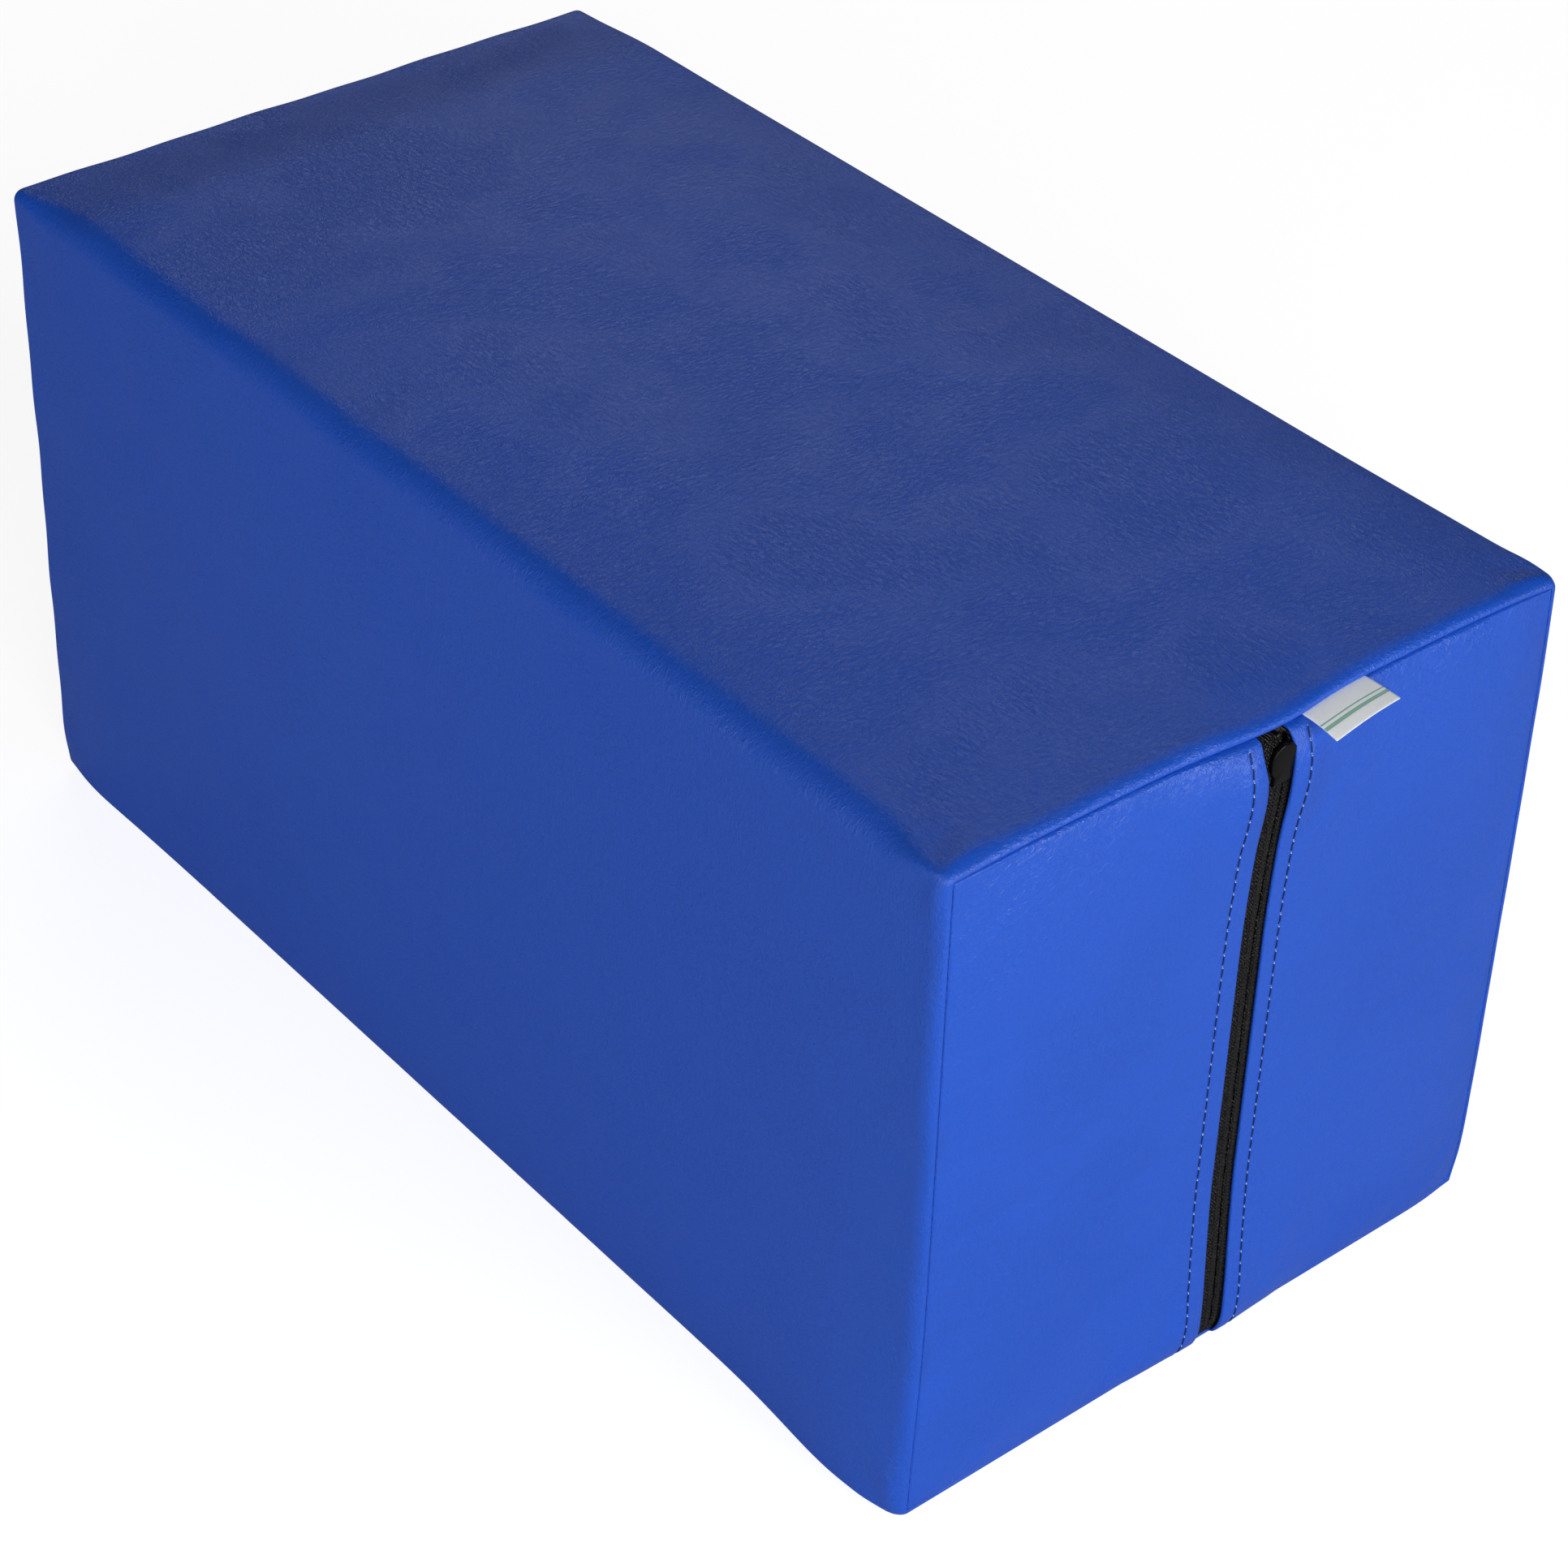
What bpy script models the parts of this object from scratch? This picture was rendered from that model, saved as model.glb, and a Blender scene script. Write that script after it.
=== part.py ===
"""Foam positioning block in a sewn leatherette cover with a coil zip, for Blender 4.5.

Frame: origin at the centre of the base, +X across the zipped end, +Y from the zipped end
to the far end, +Z up. The zip closes upwards, so its slider rests at the top.
"""
import math

import bmesh
import bpy
from mathutils import Matrix, Vector

# The block, in metres
LENGTH = 0.500
WIDTH = 0.250
HEIGHT = 0.250
SHEET = 0.0010            # leatherette
GAP = 0.0003              # between pieces that touch

# The sleeve: a strip wrapped round four sides, with its ends rolled in
LIP = 0.0030              # height of the rolled lip outside the seam
SOFT_ROUND = 0.010        # upper -X long edge, away from the ends
CRISP_ROUND = 0.0034      # the other long edges, and every edge at the ends
ROUND_FADE = 0.035        # length over which the soft edge goes from one to the other
ALLOWANCE = 0.009         # sheet turned in behind each end seam

# The end panels
TURN = 0.0020             # radius where a panel turns into its seam
FACE_CROWN = 0.0022       # how far the foam pushes a panel out
ZIP_CROWN = 0.0053        # the same, along the zip
CROWN_ROLL = 0.008        # height over which the crown rises from the top and bottom seams
RIDGE_FLAT = 0.014        # half width of the flat band that carries the zip
RIDGE_FADE = 0.040        # where the band has sunk back into the face
FOLD_X = 0.0052           # folded edges, each side of the zip
FOLD_RADIUS = 0.00115
HEM = 0.0130              # where the turned-under hem ends
TOPSTITCH_X = 0.0110

# The zip, behind the folds, with its flat side out
TAPE = 0.0006
TAPE_X = 0.0140
SLIT_X = 0.00015
PITCH = 0.0014
WIRE = 0.0003             # radius of the coil's monofilament
COIL_OUTER = 0.0024
COIL_HEAD = 0.00015       # how far a loop reaches past the middle
COIL_DEPTH = 0.0017       # between the two legs of a loop
COIL_FOOT = 0.0105        # lowest loop
COIL_TOP = 0.2395
CORD_X = 0.0013
CORD = 0.0004
CHAIN_X = 0.0019
CHAIN_THREAD = 0.00015
THREAD = 0.0002
SEAM_THREAD = 0.00018

# The foam core
FOAM_END = 0.0047         # short of the block's ends, behind the slider
SEAM_CLEAR = 0.0070       # clear of the sheets turned in at the end seams

# The slider at rest, closed
SLIDER_FOOT = 0.2308
SLIDER_LENGTH = 0.0122
SLIDER_NARROW = 0.0035    # half width at the foot
SLIDER_WIDE = 0.0050      # half width at the shoulders
SLIDER_WALL = 0.0006
PLATE = 0.00135
DIAMOND_WIDE = 0.0008
WEDGE_TIP = 0.0050        # above the slider's foot
WEDGE_FULL = 0.0085
SHOULDER_LOW = 0.0030     # where the walls start to spread, above the foot
SHOULDER_HIGH = 0.0062
NOSE_START = 0.0070
BAIL_HALF = 0.0008
RIM_BEVEL = 0.0004

# The label, a folded ribbon in the top seam
LABEL_LEFT = 0.0136
LABEL_WIDTH = 0.0280
LABEL_REACH = 0.0145
LABEL_SHEET = 0.00025

BLUE = (0.030, 0.095, 0.470)
THREAD_BLUE = (0.012, 0.030, 0.230)
BLACK = (0.012, 0.012, 0.013)
SLIDER_BLACK = (0.016, 0.016, 0.017)
WHITE = (0.80, 0.82, 0.80)
FOAM = (0.78, 0.74, 0.60)

HALF_W = WIDTH / 2
HALF_H = HEIGHT / 2
FRONT = -LENGTH / 2
PANEL_W = HALF_W - LIP - GAP
PANEL_H = HALF_H - LIP - GAP
TAPE_DEPTH = 2 * FOLD_RADIUS + GAP       # front of the tape, behind the folds' face
COIL_CENTRE = TAPE_DEPTH + TAPE + GAP + WIRE
SEAM_END = FRONT + LIP / 2 + ALLOWANCE   # inner end of the sheet turned in at the zipped end


def clear_scene():
    for item in list(bpy.data.objects):
        bpy.data.objects.remove(item, do_unlink=True)


def material(name, colour, roughness, metallic=0.0):
    made = bpy.data.materials.new(name)
    made.use_nodes = True
    shader = made.node_tree.nodes["Principled BSDF"]
    shader.inputs["Base Color"].default_value = (*colour, 1.0)
    shader.inputs["Roughness"].default_value = roughness
    shader.inputs["Metallic"].default_value = metallic
    return made


def add_object(name, mesh_data, surface, smooth=True):
    mesh = bpy.data.meshes.new(name)
    mesh_data.to_mesh(mesh)
    mesh_data.free()
    if smooth:
        mesh.shade_smooth()
        mesh.set_sharp_from_angle(angle=math.radians(40))
    item = bpy.data.objects.new(name, mesh)
    item.data.materials.append(surface)
    bpy.context.scene.collection.objects.link(item)
    return item


def thicken(item, thickness):
    """Gives a sheet its thickness behind its outer face."""
    solid = item.modifiers.new("Solidify", "SOLIDIFY")
    solid.thickness = thickness
    solid.offset = -1.0
    solid.use_even_offset = True
    return item


def face_towards(sheet, way, test):
    """Turns a sheet to face one way, judged on the faces that pass the test."""
    bmesh.ops.recalc_face_normals(sheet, faces=sheet.faces[:])
    facing = sum(f.normal.dot(way) * f.calc_area() for f in sheet.faces if test(f))
    if facing < 0:
        bmesh.ops.reverse_faces(sheet, faces=sheet.faces[:])


def grid_sheet(rows):
    """A sheet through rows of points."""
    sheet = bmesh.new()
    verts = [[sheet.verts.new(p) for p in row] for row in rows]
    for low, high in zip(verts, verts[1:]):
        for a, b, c, d in zip(low, low[1:], high[1:], high):
            sheet.faces.new((a, b, c, d))
    return sheet


def tube(name, points, radius, surface, closed=False):
    """A thread or cord through the points, with flat ends."""
    curve = bpy.data.curves.new(name, "CURVE")
    curve.dimensions = "3D"
    curve.bevel_depth = radius
    curve.bevel_resolution = 0
    curve.use_fill_caps = True
    curve.render_resolution_u = 0
    line = curve.splines.new("POLY")
    line.points.add(len(points) - 1)
    for point, place in zip(line.points, points):
        point.co = (*place, 1.0)
    line.use_cyclic_u = closed
    item = bpy.data.objects.new(name, curve)
    item.data.materials.append(surface)
    bpy.context.scene.collection.objects.link(item)
    return item


def smooth_step(t):
    t = min(max(t, 0.0), 1.0)
    return t * t * (3 - 2 * t)


def soft_round(y):
    """Radius of the upper -X edge: crisp at the end seams, soft between them."""
    from_end = LENGTH / 2 - abs(y)
    return CRISP_ROUND + (SOFT_ROUND - CRISP_ROUND) * smooth_step(from_end / ROUND_FADE)


def wrap_outline(inset, soft, steps=3):
    """(x, z) points once round the block, from its lower +X edge under, up, over and down.

    The strip's two ends meet at that edge: the underside stops short of the side's inner face.
    """
    w = HALF_W - inset
    h = HALF_H - inset
    points = [(w - SHEET - GAP, -h)]
    for sx, sz, start, radius in ((-1, -1, 270, CRISP_ROUND), (-1, 1, 180, soft), (1, 1, 90, CRISP_ROUND)):
        r = radius - inset
        for i in range(steps + 1):
            angle = math.radians(start - 90 * i / steps)
            points.append((sx * (w - r) + r * math.cos(angle), sz * (h - r) + r * math.sin(angle)))
    points.append((w, -h))
    return [(x, z + HALF_H) for x, z in points]


def make_sleeve(surface):
    """The wrapped strip: allowance, rolled lip, long run, rolled lip, allowance."""
    roll = LIP / 2
    profile = [(LENGTH / 2 - roll - ALLOWANCE, LIP)]
    for i in range(6):
        angle = math.pi * i / 5
        profile.append((LENGTH / 2 - roll + roll * math.sin(angle), roll + roll * math.cos(angle)))
    for from_end in (0.010, 0.020, 0.030):
        profile.append((LENGTH / 2 - from_end, 0.0))
    profile += [(-y, inset) for y, inset in reversed(profile)]
    rows = []
    for y, inset in profile:
        soft = CRISP_ROUND if inset else soft_round(y)
        rows.append([(x, y, z) for x, z in wrap_outline(inset, soft)])
    sheet = grid_sheet(rows)
    face_towards(sheet, Vector((0, 0, 1)), lambda f: f.calc_center_median().z > HEIGHT - 0.0001)
    return thicken(add_object("cover_sleeve", sheet, surface), SHEET)


def turn_depth(inside):
    """How far a panel's face has turned back, at a distance inside its outline."""
    if inside >= TURN:
        return 0.0
    return TURN - math.sqrt(TURN ** 2 - (TURN - inside) ** 2)


def crown_height(x, z, zipped):
    """How far the foam pushes a panel out, z from its middle."""
    rise = 1 - min((PANEL_H - abs(z)) / CROWN_ROLL, 1.0)
    roll = math.sqrt(max(1 - rise * rise, 0.0))
    side = 1 - (abs(x) / PANEL_W) ** 6
    height = FACE_CROWN * side
    if zipped:
        ridge = 1 - smooth_step((abs(x) - RIDGE_FLAT) / RIDGE_FADE)
        height += (ZIP_CROWN - height) * ridge
    return height * roll


def panel_y(x, z, zipped):
    inside = max(min(PANEL_W - abs(x), PANEL_H - abs(z)), 0.0)
    return FRONT + turn_depth(inside) - crown_height(x, z, zipped)


def mirrored(steps, limit, middle=()):
    """Grid lines across a panel, close together at its edges, in order."""
    half = [m for m in middle] + [limit - s for s in steps] + [limit]
    return sorted({-h for h in half} | set(half))


Z_LINES = mirrored((0.0165, 0.0077, 0.0045, 0.0020, 0.0008), PANEL_H, (0.035, 0.080))
X_EDGES = (0.0165, 0.0020, 0.0008)
X_LINES = mirrored(X_EDGES, PANEL_W, (FOLD_X + FOLD_RADIUS, RIDGE_FLAT, 0.034, RIDGE_FLAT + RIDGE_FADE, 0.085))
FAR_X_LINES = mirrored(X_EDGES, PANEL_W, (0.035, 0.080))


def zip_path(depth):
    """(y, z) points up the zip, at a depth behind the folds' face, with the turned-in ends.

    Each run of the path is moved in by the depth and met with the next, so layers stay parallel.
    """
    face = [(panel_y(0.0, z, True), z) for z in Z_LINES]
    face = [(SEAM_END, -PANEL_H)] + face + [(SEAM_END, PANEL_H)]
    moved = []
    for i, here in enumerate(face):
        before = Vector(here) - Vector(face[max(i - 1, 0)])
        after = Vector(face[min(i + 1, len(face) - 1)]) - Vector(here)
        before = before if before.length else after
        after = after if after.length else before
        n1 = Vector((before.y, -before.x)).normalized()
        n2 = Vector((after.y, -after.x)).normalized()
        mid = (n1 + n2).normalized()
        moved.append(Vector(here) + mid * depth / mid.dot(n1))
    return [(p.x, p.y + HALF_H) for p in moved]


def grid_faces(columns, rows):
    """Faces of a grid whose points run up one column after another."""
    faces = []
    for i in range(columns - 1):
        for j in range(rows - 1):
            a = i * rows + j
            faces.append((a, a + rows, a + rows + 1, a + 1))
    return faces


def free_edges(faces):
    edges = {(a, b) for face in faces for a, b in zip(face, face[1:] + face[:1])}
    return [(a, b) for a, b in sorted(edges) if (b, a) not in edges]


def turn_in(outer, inner, faces, kept):
    """Carries both sides of a sheet back from its free edges, except between the kept points."""
    edges = [(a, b) for a, b in free_edges(faces) if not (a in kept and b in kept)]
    copies = {}
    for a in sorted({point for edge in edges for point in edge}):
        copies[a] = len(outer)
        for side in (outer, inner):
            x, _, z = side[a]
            side.append((x, SEAM_END, z))
    faces += [(b, a, copies[a], copies[b]) for a, b in edges]


def shell(name, outer, inner, faces, surface):
    """One closed body from a sheet's two sides, joined along the sheet's free edges."""
    count = len(outer)
    solid = bmesh.new()
    verts = [solid.verts.new(p) for p in outer + inner]
    backs = [tuple(i + count for i in face[::-1]) for face in faces]
    rims = [(b, a, a + count, b + count) for a, b in free_edges(faces)]
    for face in faces + backs + rims:
        solid.faces.new([verts[i] for i in face])
    bmesh.ops.recalc_face_normals(solid, faces=solid.faces[:])
    return add_object(name, solid, surface)


def face_point(x, z, depth, zipped):
    """A point of a panel, at a depth behind its face, turning back with it near the outline."""
    across = max(1 - (PANEL_W - abs(x)) / TURN, 0.0)
    along = max(1 - (PANEL_H - abs(z)) / TURN, 0.0)
    back = math.sqrt(1 - max(across, along) ** 2)
    y = panel_y(x, z, zipped) + depth * back
    place_x = x - math.copysign(depth * across, x)
    place_z = z - math.copysign(depth * along, z)
    return (place_x, y, place_z + HALF_H)


def make_far_panel(surface):
    outer = [face_point(x, z, 0.0, False) for x in FAR_X_LINES for z in Z_LINES]
    inner = [face_point(x, z, SHEET, False) for x in FAR_X_LINES for z in Z_LINES]
    faces = grid_faces(len(FAR_X_LINES), len(Z_LINES))
    turn_in(outer, inner, faces, ())
    outer = [(-x, -y, z) for x, y, z in outer]
    inner = [(-x, -y, z) for x, y, z in inner]
    return shell("far_end_panel", outer, inner, faces, surface)


def hem_section(depth):
    """(x, depth) points from the hem's hidden end round the fold, at a depth in the sheet."""
    radius = FOLD_RADIUS - depth
    points = [(HEM, FOLD_RADIUS + radius)]
    for i in range(6):
        angle = math.pi * (1 - i / 6)
        points.append((FOLD_X + FOLD_RADIUS - radius * math.sin(angle), FOLD_RADIUS - radius * math.cos(angle)))
    return points


def make_zip_panel(side, name, surface):
    """Half of the zipped end: face, outer seam allowance, and a hem folded along the zip."""
    reaches = [x for x in X_LINES if x > FOLD_X]
    sides = []
    for depth in (0.0, SHEET):
        points = []
        for reach, behind in hem_section(depth):
            points += [(side * reach, y, z) for y, z in zip_path(behind)[1:-1]]
        for reach in reaches:
            if reach <= RIDGE_FLAT:
                points += [(side * reach, y, z) for y, z in zip_path(depth)[1:-1]]
            else:
                points += [face_point(side * reach, z, depth, True) for z in Z_LINES]
        sides.append(points)
    rows = len(Z_LINES)
    faces = grid_faces(len(hem_section(0.0)) + len(reaches), rows)
    turn_in(sides[0], sides[1], faces, set(range(rows)))
    return shell(name, sides[0], sides[1], faces, surface)


def spread(height):
    """How far the coils and tapes have been parted at a height, with the zip closed."""
    start = SLIDER_FOOT + 0.0015
    full = SLIDER_FOOT + WEDGE_FULL
    return (DIAMOND_WIDE + 2 * GAP) * smooth_step((height - start) / (full - start))


def make_tape(side, name, surface):
    columns = []
    path = zip_path(TAPE_DEPTH)
    for x in (SLIT_X, 0.0045, TAPE_X):
        column = []
        for y, z in path:
            apart = spread(z) if x == SLIT_X else 0.0
            column.append((side * (x + apart), y, z))
        columns.append(column)
    sheet = grid_sheet(columns)
    face_towards(sheet, Vector((0, -1, 0)), lambda f: True)
    return thicken(add_object(name, sheet, surface), TAPE)


def straight_y(depth):
    """y of the straight run of the zip, at a depth behind the folds' face."""
    return FRONT - ZIP_CROWN + depth


def layer_y(path, height):
    """y of a layer of the zip at a height."""
    for (y1, z1), (y2, z2) in zip(path[1:], path[2:-1]):
        if z1 <= height <= z2:
            return y1 + (y2 - y1) * (height - z1) / (z2 - z1)
    return path[len(path) // 2][0]


def make_coil(side, name, surface):
    """One spiral: each turn is a flat loop whose head reaches past the middle."""
    offset = 0.0 if side < 0 else PITCH / 2
    turns = int((COIL_TOP - COIL_FOOT) / PITCH)
    front = zip_path(COIL_CENTRE)
    back = zip_path(COIL_CENTRE + COIL_DEPTH)
    points = []
    for i in range(turns):
        z = COIL_FOOT + offset + i * PITCH
        head = side * (spread(z) - COIL_HEAD)
        outer = side * (spread(z) + COIL_OUTER)
        near = layer_y(front, z)
        far = layer_y(back, z)
        points += [(outer, near, z), (head, near, z), (head, far, z), (outer, far, z + PITCH * 0.3)]
    return tube(name, points, WIRE, surface)


def prism(outline, low, high):
    """A solid with an (x, z) outline between two y values."""
    solid = bmesh.new()
    near = [solid.verts.new((x, low, z)) for x, z in outline]
    far = [solid.verts.new((x, high, z)) for x, z in outline]
    solid.faces.new(near)
    solid.faces.new(far[::-1])
    for i, a in enumerate(near):
        j = (i + 1) % len(near)
        solid.faces.new((a, far[i], far[j], near[j]))
    bmesh.ops.recalc_face_normals(solid, faces=solid.faces[:])
    return solid


def boolean(item, cutter, operation):
    cutter.hide_render = True
    cutter.display_type = "WIRE"
    cut = item.modifiers.new(operation.title(), "BOOLEAN")
    cut.operation = operation
    cut.object = cutter
    cut.solver = "EXACT"


def slider_outline():
    """(x, z) points round the slider, from its foot: narrow foot, S-curved shoulders, round nose."""
    right = []
    for i in range(7):
        t = i / 6
        x = SLIDER_NARROW + (SLIDER_WIDE - SLIDER_NARROW) * smooth_step(t)
        right.append((x, SHOULDER_LOW + (SHOULDER_HIGH - SHOULDER_LOW) * t))
    for i in range(9):
        angle = math.radians(90 * i / 9)
        height = NOSE_START + (SLIDER_LENGTH - NOSE_START) * math.sin(angle)
        right.append((SLIDER_WIDE * math.cos(angle), height))
    right = [(SLIDER_NARROW, 0.0)] + right + [(0.0, SLIDER_LENGTH)]
    left = [(-x, z) for x, z in right[-2::-1]]
    return [(x, z + SLIDER_FOOT) for x, z in right + left]


def channel_outline(side, wall, inner=0.00005):
    """(x, z) points round one coil's way through the slider, beside the wedge."""
    foot = -0.001
    top = SLIDER_LENGTH + 0.001
    outer = [(SLIDER_NARROW - wall, foot), (SLIDER_NARROW - wall, SHOULDER_LOW)]
    outer += [(SLIDER_WIDE - wall, SHOULDER_HIGH), (SLIDER_WIDE - wall, top)]
    wedge = [(DIAMOND_WIDE, top), (DIAMOND_WIDE, WEDGE_FULL), (-inner, WEDGE_TIP), (-inner, foot)]
    return [(side * x, z + SLIDER_FOOT) for x, z in outer + wedge]


def make_slider(surface):
    """Two plates joined by a wedge at the wide end, walls that keep the coils in, and a bail inside."""
    slot_front = straight_y(TAPE_DEPTH) - 0.00055
    slot_back = straight_y(TAPE_DEPTH + TAPE) + GAP
    channel_back = straight_y(COIL_CENTRE + COIL_DEPTH + WIRE) + 0.0003
    outer_face = slot_front - PLATE
    inner_face = channel_back + PLATE
    body = prism(slider_outline(), outer_face, inner_face)
    rim = [e for e in body.edges if abs(e.verts[0].co.y - e.verts[1].co.y) < 1e-9]
    bmesh.ops.bevel(body, geom=rim, offset=RIM_BEVEL, segments=2, affect="EDGES", clamp_overlap=True)
    slider = add_object("slider_body", body, surface)
    for side in (-1, 1):
        name = "left" if side < 0 else "right"
        channel = prism(channel_outline(side, SLIDER_WALL), slot_front + 0.0001, channel_back)
        slot = prism(channel_outline(side, -0.002), slot_front, slot_back)
        for kind, cutter in (("channel", channel), ("slot", slot)):
            boolean(slider, add_object(f"cutter_{kind}_{name}", cutter, surface, False), "DIFFERENCE")
    low = SLIDER_FOOT + SHOULDER_LOW
    bail = bmesh.new()
    profile = [(0.0, 0.0), (0.0016, 0.0), (0.0020, 0.0007), (0.0044, 0.0007), (0.0048, 0.0), (0.0064, 0.0)]
    profile += [(0.0058, 0.0014), (0.0048, 0.0017), (0.0016, 0.0017), (0.0006, 0.0014)]
    near = [bail.verts.new((-BAIL_HALF, inner_face - 0.0002 + y, low + z)) for z, y in profile]
    far = [bail.verts.new((BAIL_HALF, v.co.y, v.co.z)) for v in near]
    bail.faces.new(near)
    bail.faces.new(far[::-1])
    for i, a in enumerate(near):
        j = (i + 1) % len(near)
        bail.faces.new((a, far[i], far[j], near[j]))
    bmesh.ops.recalc_face_normals(bail, faces=bail.faces[:])
    boolean(slider, add_object("joiner_bail", bail, surface, False), "UNION")
    return slider


def make_label(surface):
    """A ribbon folded on itself: out from the seam, round the fold, and back."""
    root_y = FRONT - 0.0004
    root_z = HEIGHT - LIP - GAP / 2
    drop = math.radians(13)
    out = Vector((-math.cos(drop), -math.sin(drop)))
    up = Vector((-math.sin(drop), math.cos(drop)))
    fold = 0.0005
    section = [(0.0, fold * 0.6), (0.003, fold), (LABEL_REACH - fold, fold)]
    for i in range(1, 6):
        angle = math.pi * i / 6
        section.append((LABEL_REACH - fold + fold * math.sin(angle), fold * math.cos(angle)))
    section += [(LABEL_REACH - fold, -fold), (0.003, -fold), (0.0, -fold * 0.6)]
    rows = []
    for x in (LABEL_LEFT, LABEL_LEFT + LABEL_WIDTH / 2, LABEL_LEFT + LABEL_WIDTH):
        row = []
        for along, across in section:
            place = out * along + up * (across + fold)
            row.append((x, root_y + place.x, root_z + place.y))
        rows.append(row)
    sheet = grid_sheet(rows)
    face_towards(sheet, Vector((0, 0, 1)), lambda f: f.calc_center_median().z > root_z)
    return thicken(add_object("woven_label", sheet, surface), LABEL_SHEET)


def make_foam(surface):
    """The core, chamfered at its ends to clear the turned-in seams."""
    clear = SHEET + GAP
    soft = SOFT_ROUND - clear
    crisp = CRISP_ROUND - clear
    corners = ((1, -1, 360, soft), (-1, -1, 270, crisp), (-1, 1, 180, soft), (1, 1, 90, crisp))
    end = LENGTH / 2 - FOAM_END
    rings = [(end, SEAM_CLEAR + 0.003), (end - 0.0015, SEAM_CLEAR), (end - 0.0070, SEAM_CLEAR)]
    rings += [(end - 0.0130, clear), (LENGTH / 2 - ROUND_FADE, clear)]
    rings += [(-y, inset) for y, inset in reversed(rings)]
    block = bmesh.new()
    loops = []
    for y, inset in rings:
        w = HALF_W - inset
        h = HALF_H - inset
        loop = []
        for sx, sz, start, r in corners:
            for i in range(4):
                angle = math.radians(start - 90 * i / 3)
                x = sx * (w - r) + r * math.cos(angle)
                z = sz * (h - r) + r * math.sin(angle)
                loop.append(block.verts.new((x, y, HALF_H + z)))
        loops.append(loop)
    for near, far in zip(loops, loops[1:]):
        for i, a in enumerate(near):
            j = (i + 1) % len(near)
            block.faces.new((a, near[j], far[j], far[i]))
    block.faces.new(loops[0])
    block.faces.new(loops[-1][::-1])
    bmesh.ops.recalc_face_normals(block, faces=block.faces[:])
    return add_object("foam_core", block, surface)


def seam_ring(front):
    """Points round an end seam, in the groove between lip and panel."""
    inset = LIP
    w = HALF_W - inset
    h = HALF_H - inset
    y = front * (LENGTH / 2 - 0.0001)
    corners = [(-w, -h), (w, -h), (w, h), (-w, h)]
    points = []
    for (ax, az), (bx, bz) in zip(corners, corners[1:] + corners[:1]):
        for i in range(4):
            t = i / 4
            points.append((ax + (bx - ax) * t, y, HALF_H + az + (bz - az) * t))
    return points


def make_threads(surface, black):
    path = zip_path(-THREAD - 0.00005)[1:-1]
    chain = zip_path(TAPE_DEPTH - 0.0002)[1:-1]
    for side, name in ((-1, "left"), (1, "right")):
        rows = [(side * TOPSTITCH_X, y, z) for y, z in path if 0.005 < z < HEIGHT - 0.005]
        tube(f"topstitch_{name}", rows, THREAD, surface)
        rows = [(side * (CHAIN_X + spread(z)), y, z) for y, z in chain if 0.005 < z < SLIDER_FOOT + 0.012]
        tube(f"coil_stitch_{name}", rows, CHAIN_THREAD, black)
    tube("seam_thread_zip_end", seam_ring(-1), SEAM_THREAD, surface, closed=True)
    tube("seam_thread_far_end", seam_ring(1), SEAM_THREAD, surface, closed=True)
    along = [(HALF_W - SHEET - 0.0006, y, SHEET + 0.0006) for y in (-0.236, -0.118, 0.0, 0.118, 0.236)]
    tube("sleeve_seam_thread", along, THREAD, surface)


def make_cords(surface):
    path = zip_path(COIL_CENTRE + COIL_DEPTH / 2)
    for side, name in ((-1, "left"), (1, "right")):
        points = []
        for z in (COIL_FOOT, 0.018, 0.12, SLIDER_FOOT + 0.0015, SLIDER_FOOT + 0.005, COIL_TOP - 0.0012):
            points.append((side * (CORD_X + spread(z)), layer_y(path, z), z))
        tube(f"coil_cord_{name}", points, CORD, surface)


def build():
    clear_scene()
    blue = material("leatherette", BLUE, 0.42)
    thread = material("blue_thread", THREAD_BLUE, 0.6)
    black = material("zip_tape", BLACK, 0.8)
    nylon = material("zip_nylon", BLACK, 0.4)
    enamel = material("slider_enamel", SLIDER_BLACK, 0.35, 0.4)
    ribbon = material("label_ribbon", WHITE, 0.7)
    make_foam(material("foam", FOAM, 0.95))
    make_sleeve(blue)
    make_far_panel(blue)
    make_zip_panel(-1, "zip_end_panel_left", blue)
    make_zip_panel(1, "zip_end_panel_right", blue)
    make_tape(-1, "zip_tape_left", black)
    make_tape(1, "zip_tape_right", black)
    make_coil(-1, "zip_coil_left", nylon)
    make_coil(1, "zip_coil_right", nylon)
    make_cords(nylon)
    make_threads(thread, black)
    make_slider(enamel)
    make_label(ribbon)


build()
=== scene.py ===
import math

import bpy
import numpy as np
from mathutils import Matrix, Vector


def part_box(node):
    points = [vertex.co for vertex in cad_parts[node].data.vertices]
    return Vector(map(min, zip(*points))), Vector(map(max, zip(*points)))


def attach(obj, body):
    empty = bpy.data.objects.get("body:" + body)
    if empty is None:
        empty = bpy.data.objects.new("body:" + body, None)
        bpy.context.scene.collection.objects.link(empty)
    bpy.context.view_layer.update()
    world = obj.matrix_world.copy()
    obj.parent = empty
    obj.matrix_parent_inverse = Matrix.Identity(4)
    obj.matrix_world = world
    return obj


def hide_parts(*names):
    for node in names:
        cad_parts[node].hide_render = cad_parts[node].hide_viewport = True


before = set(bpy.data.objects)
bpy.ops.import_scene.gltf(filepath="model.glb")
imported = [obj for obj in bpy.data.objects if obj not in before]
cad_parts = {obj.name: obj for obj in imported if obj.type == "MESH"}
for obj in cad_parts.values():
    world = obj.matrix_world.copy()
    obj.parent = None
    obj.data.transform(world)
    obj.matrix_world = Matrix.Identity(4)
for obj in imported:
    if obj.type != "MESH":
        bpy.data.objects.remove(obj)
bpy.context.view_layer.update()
sleeveLow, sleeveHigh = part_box("cover_sleeve")
halfWidth = sleeveHigh.x
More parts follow.
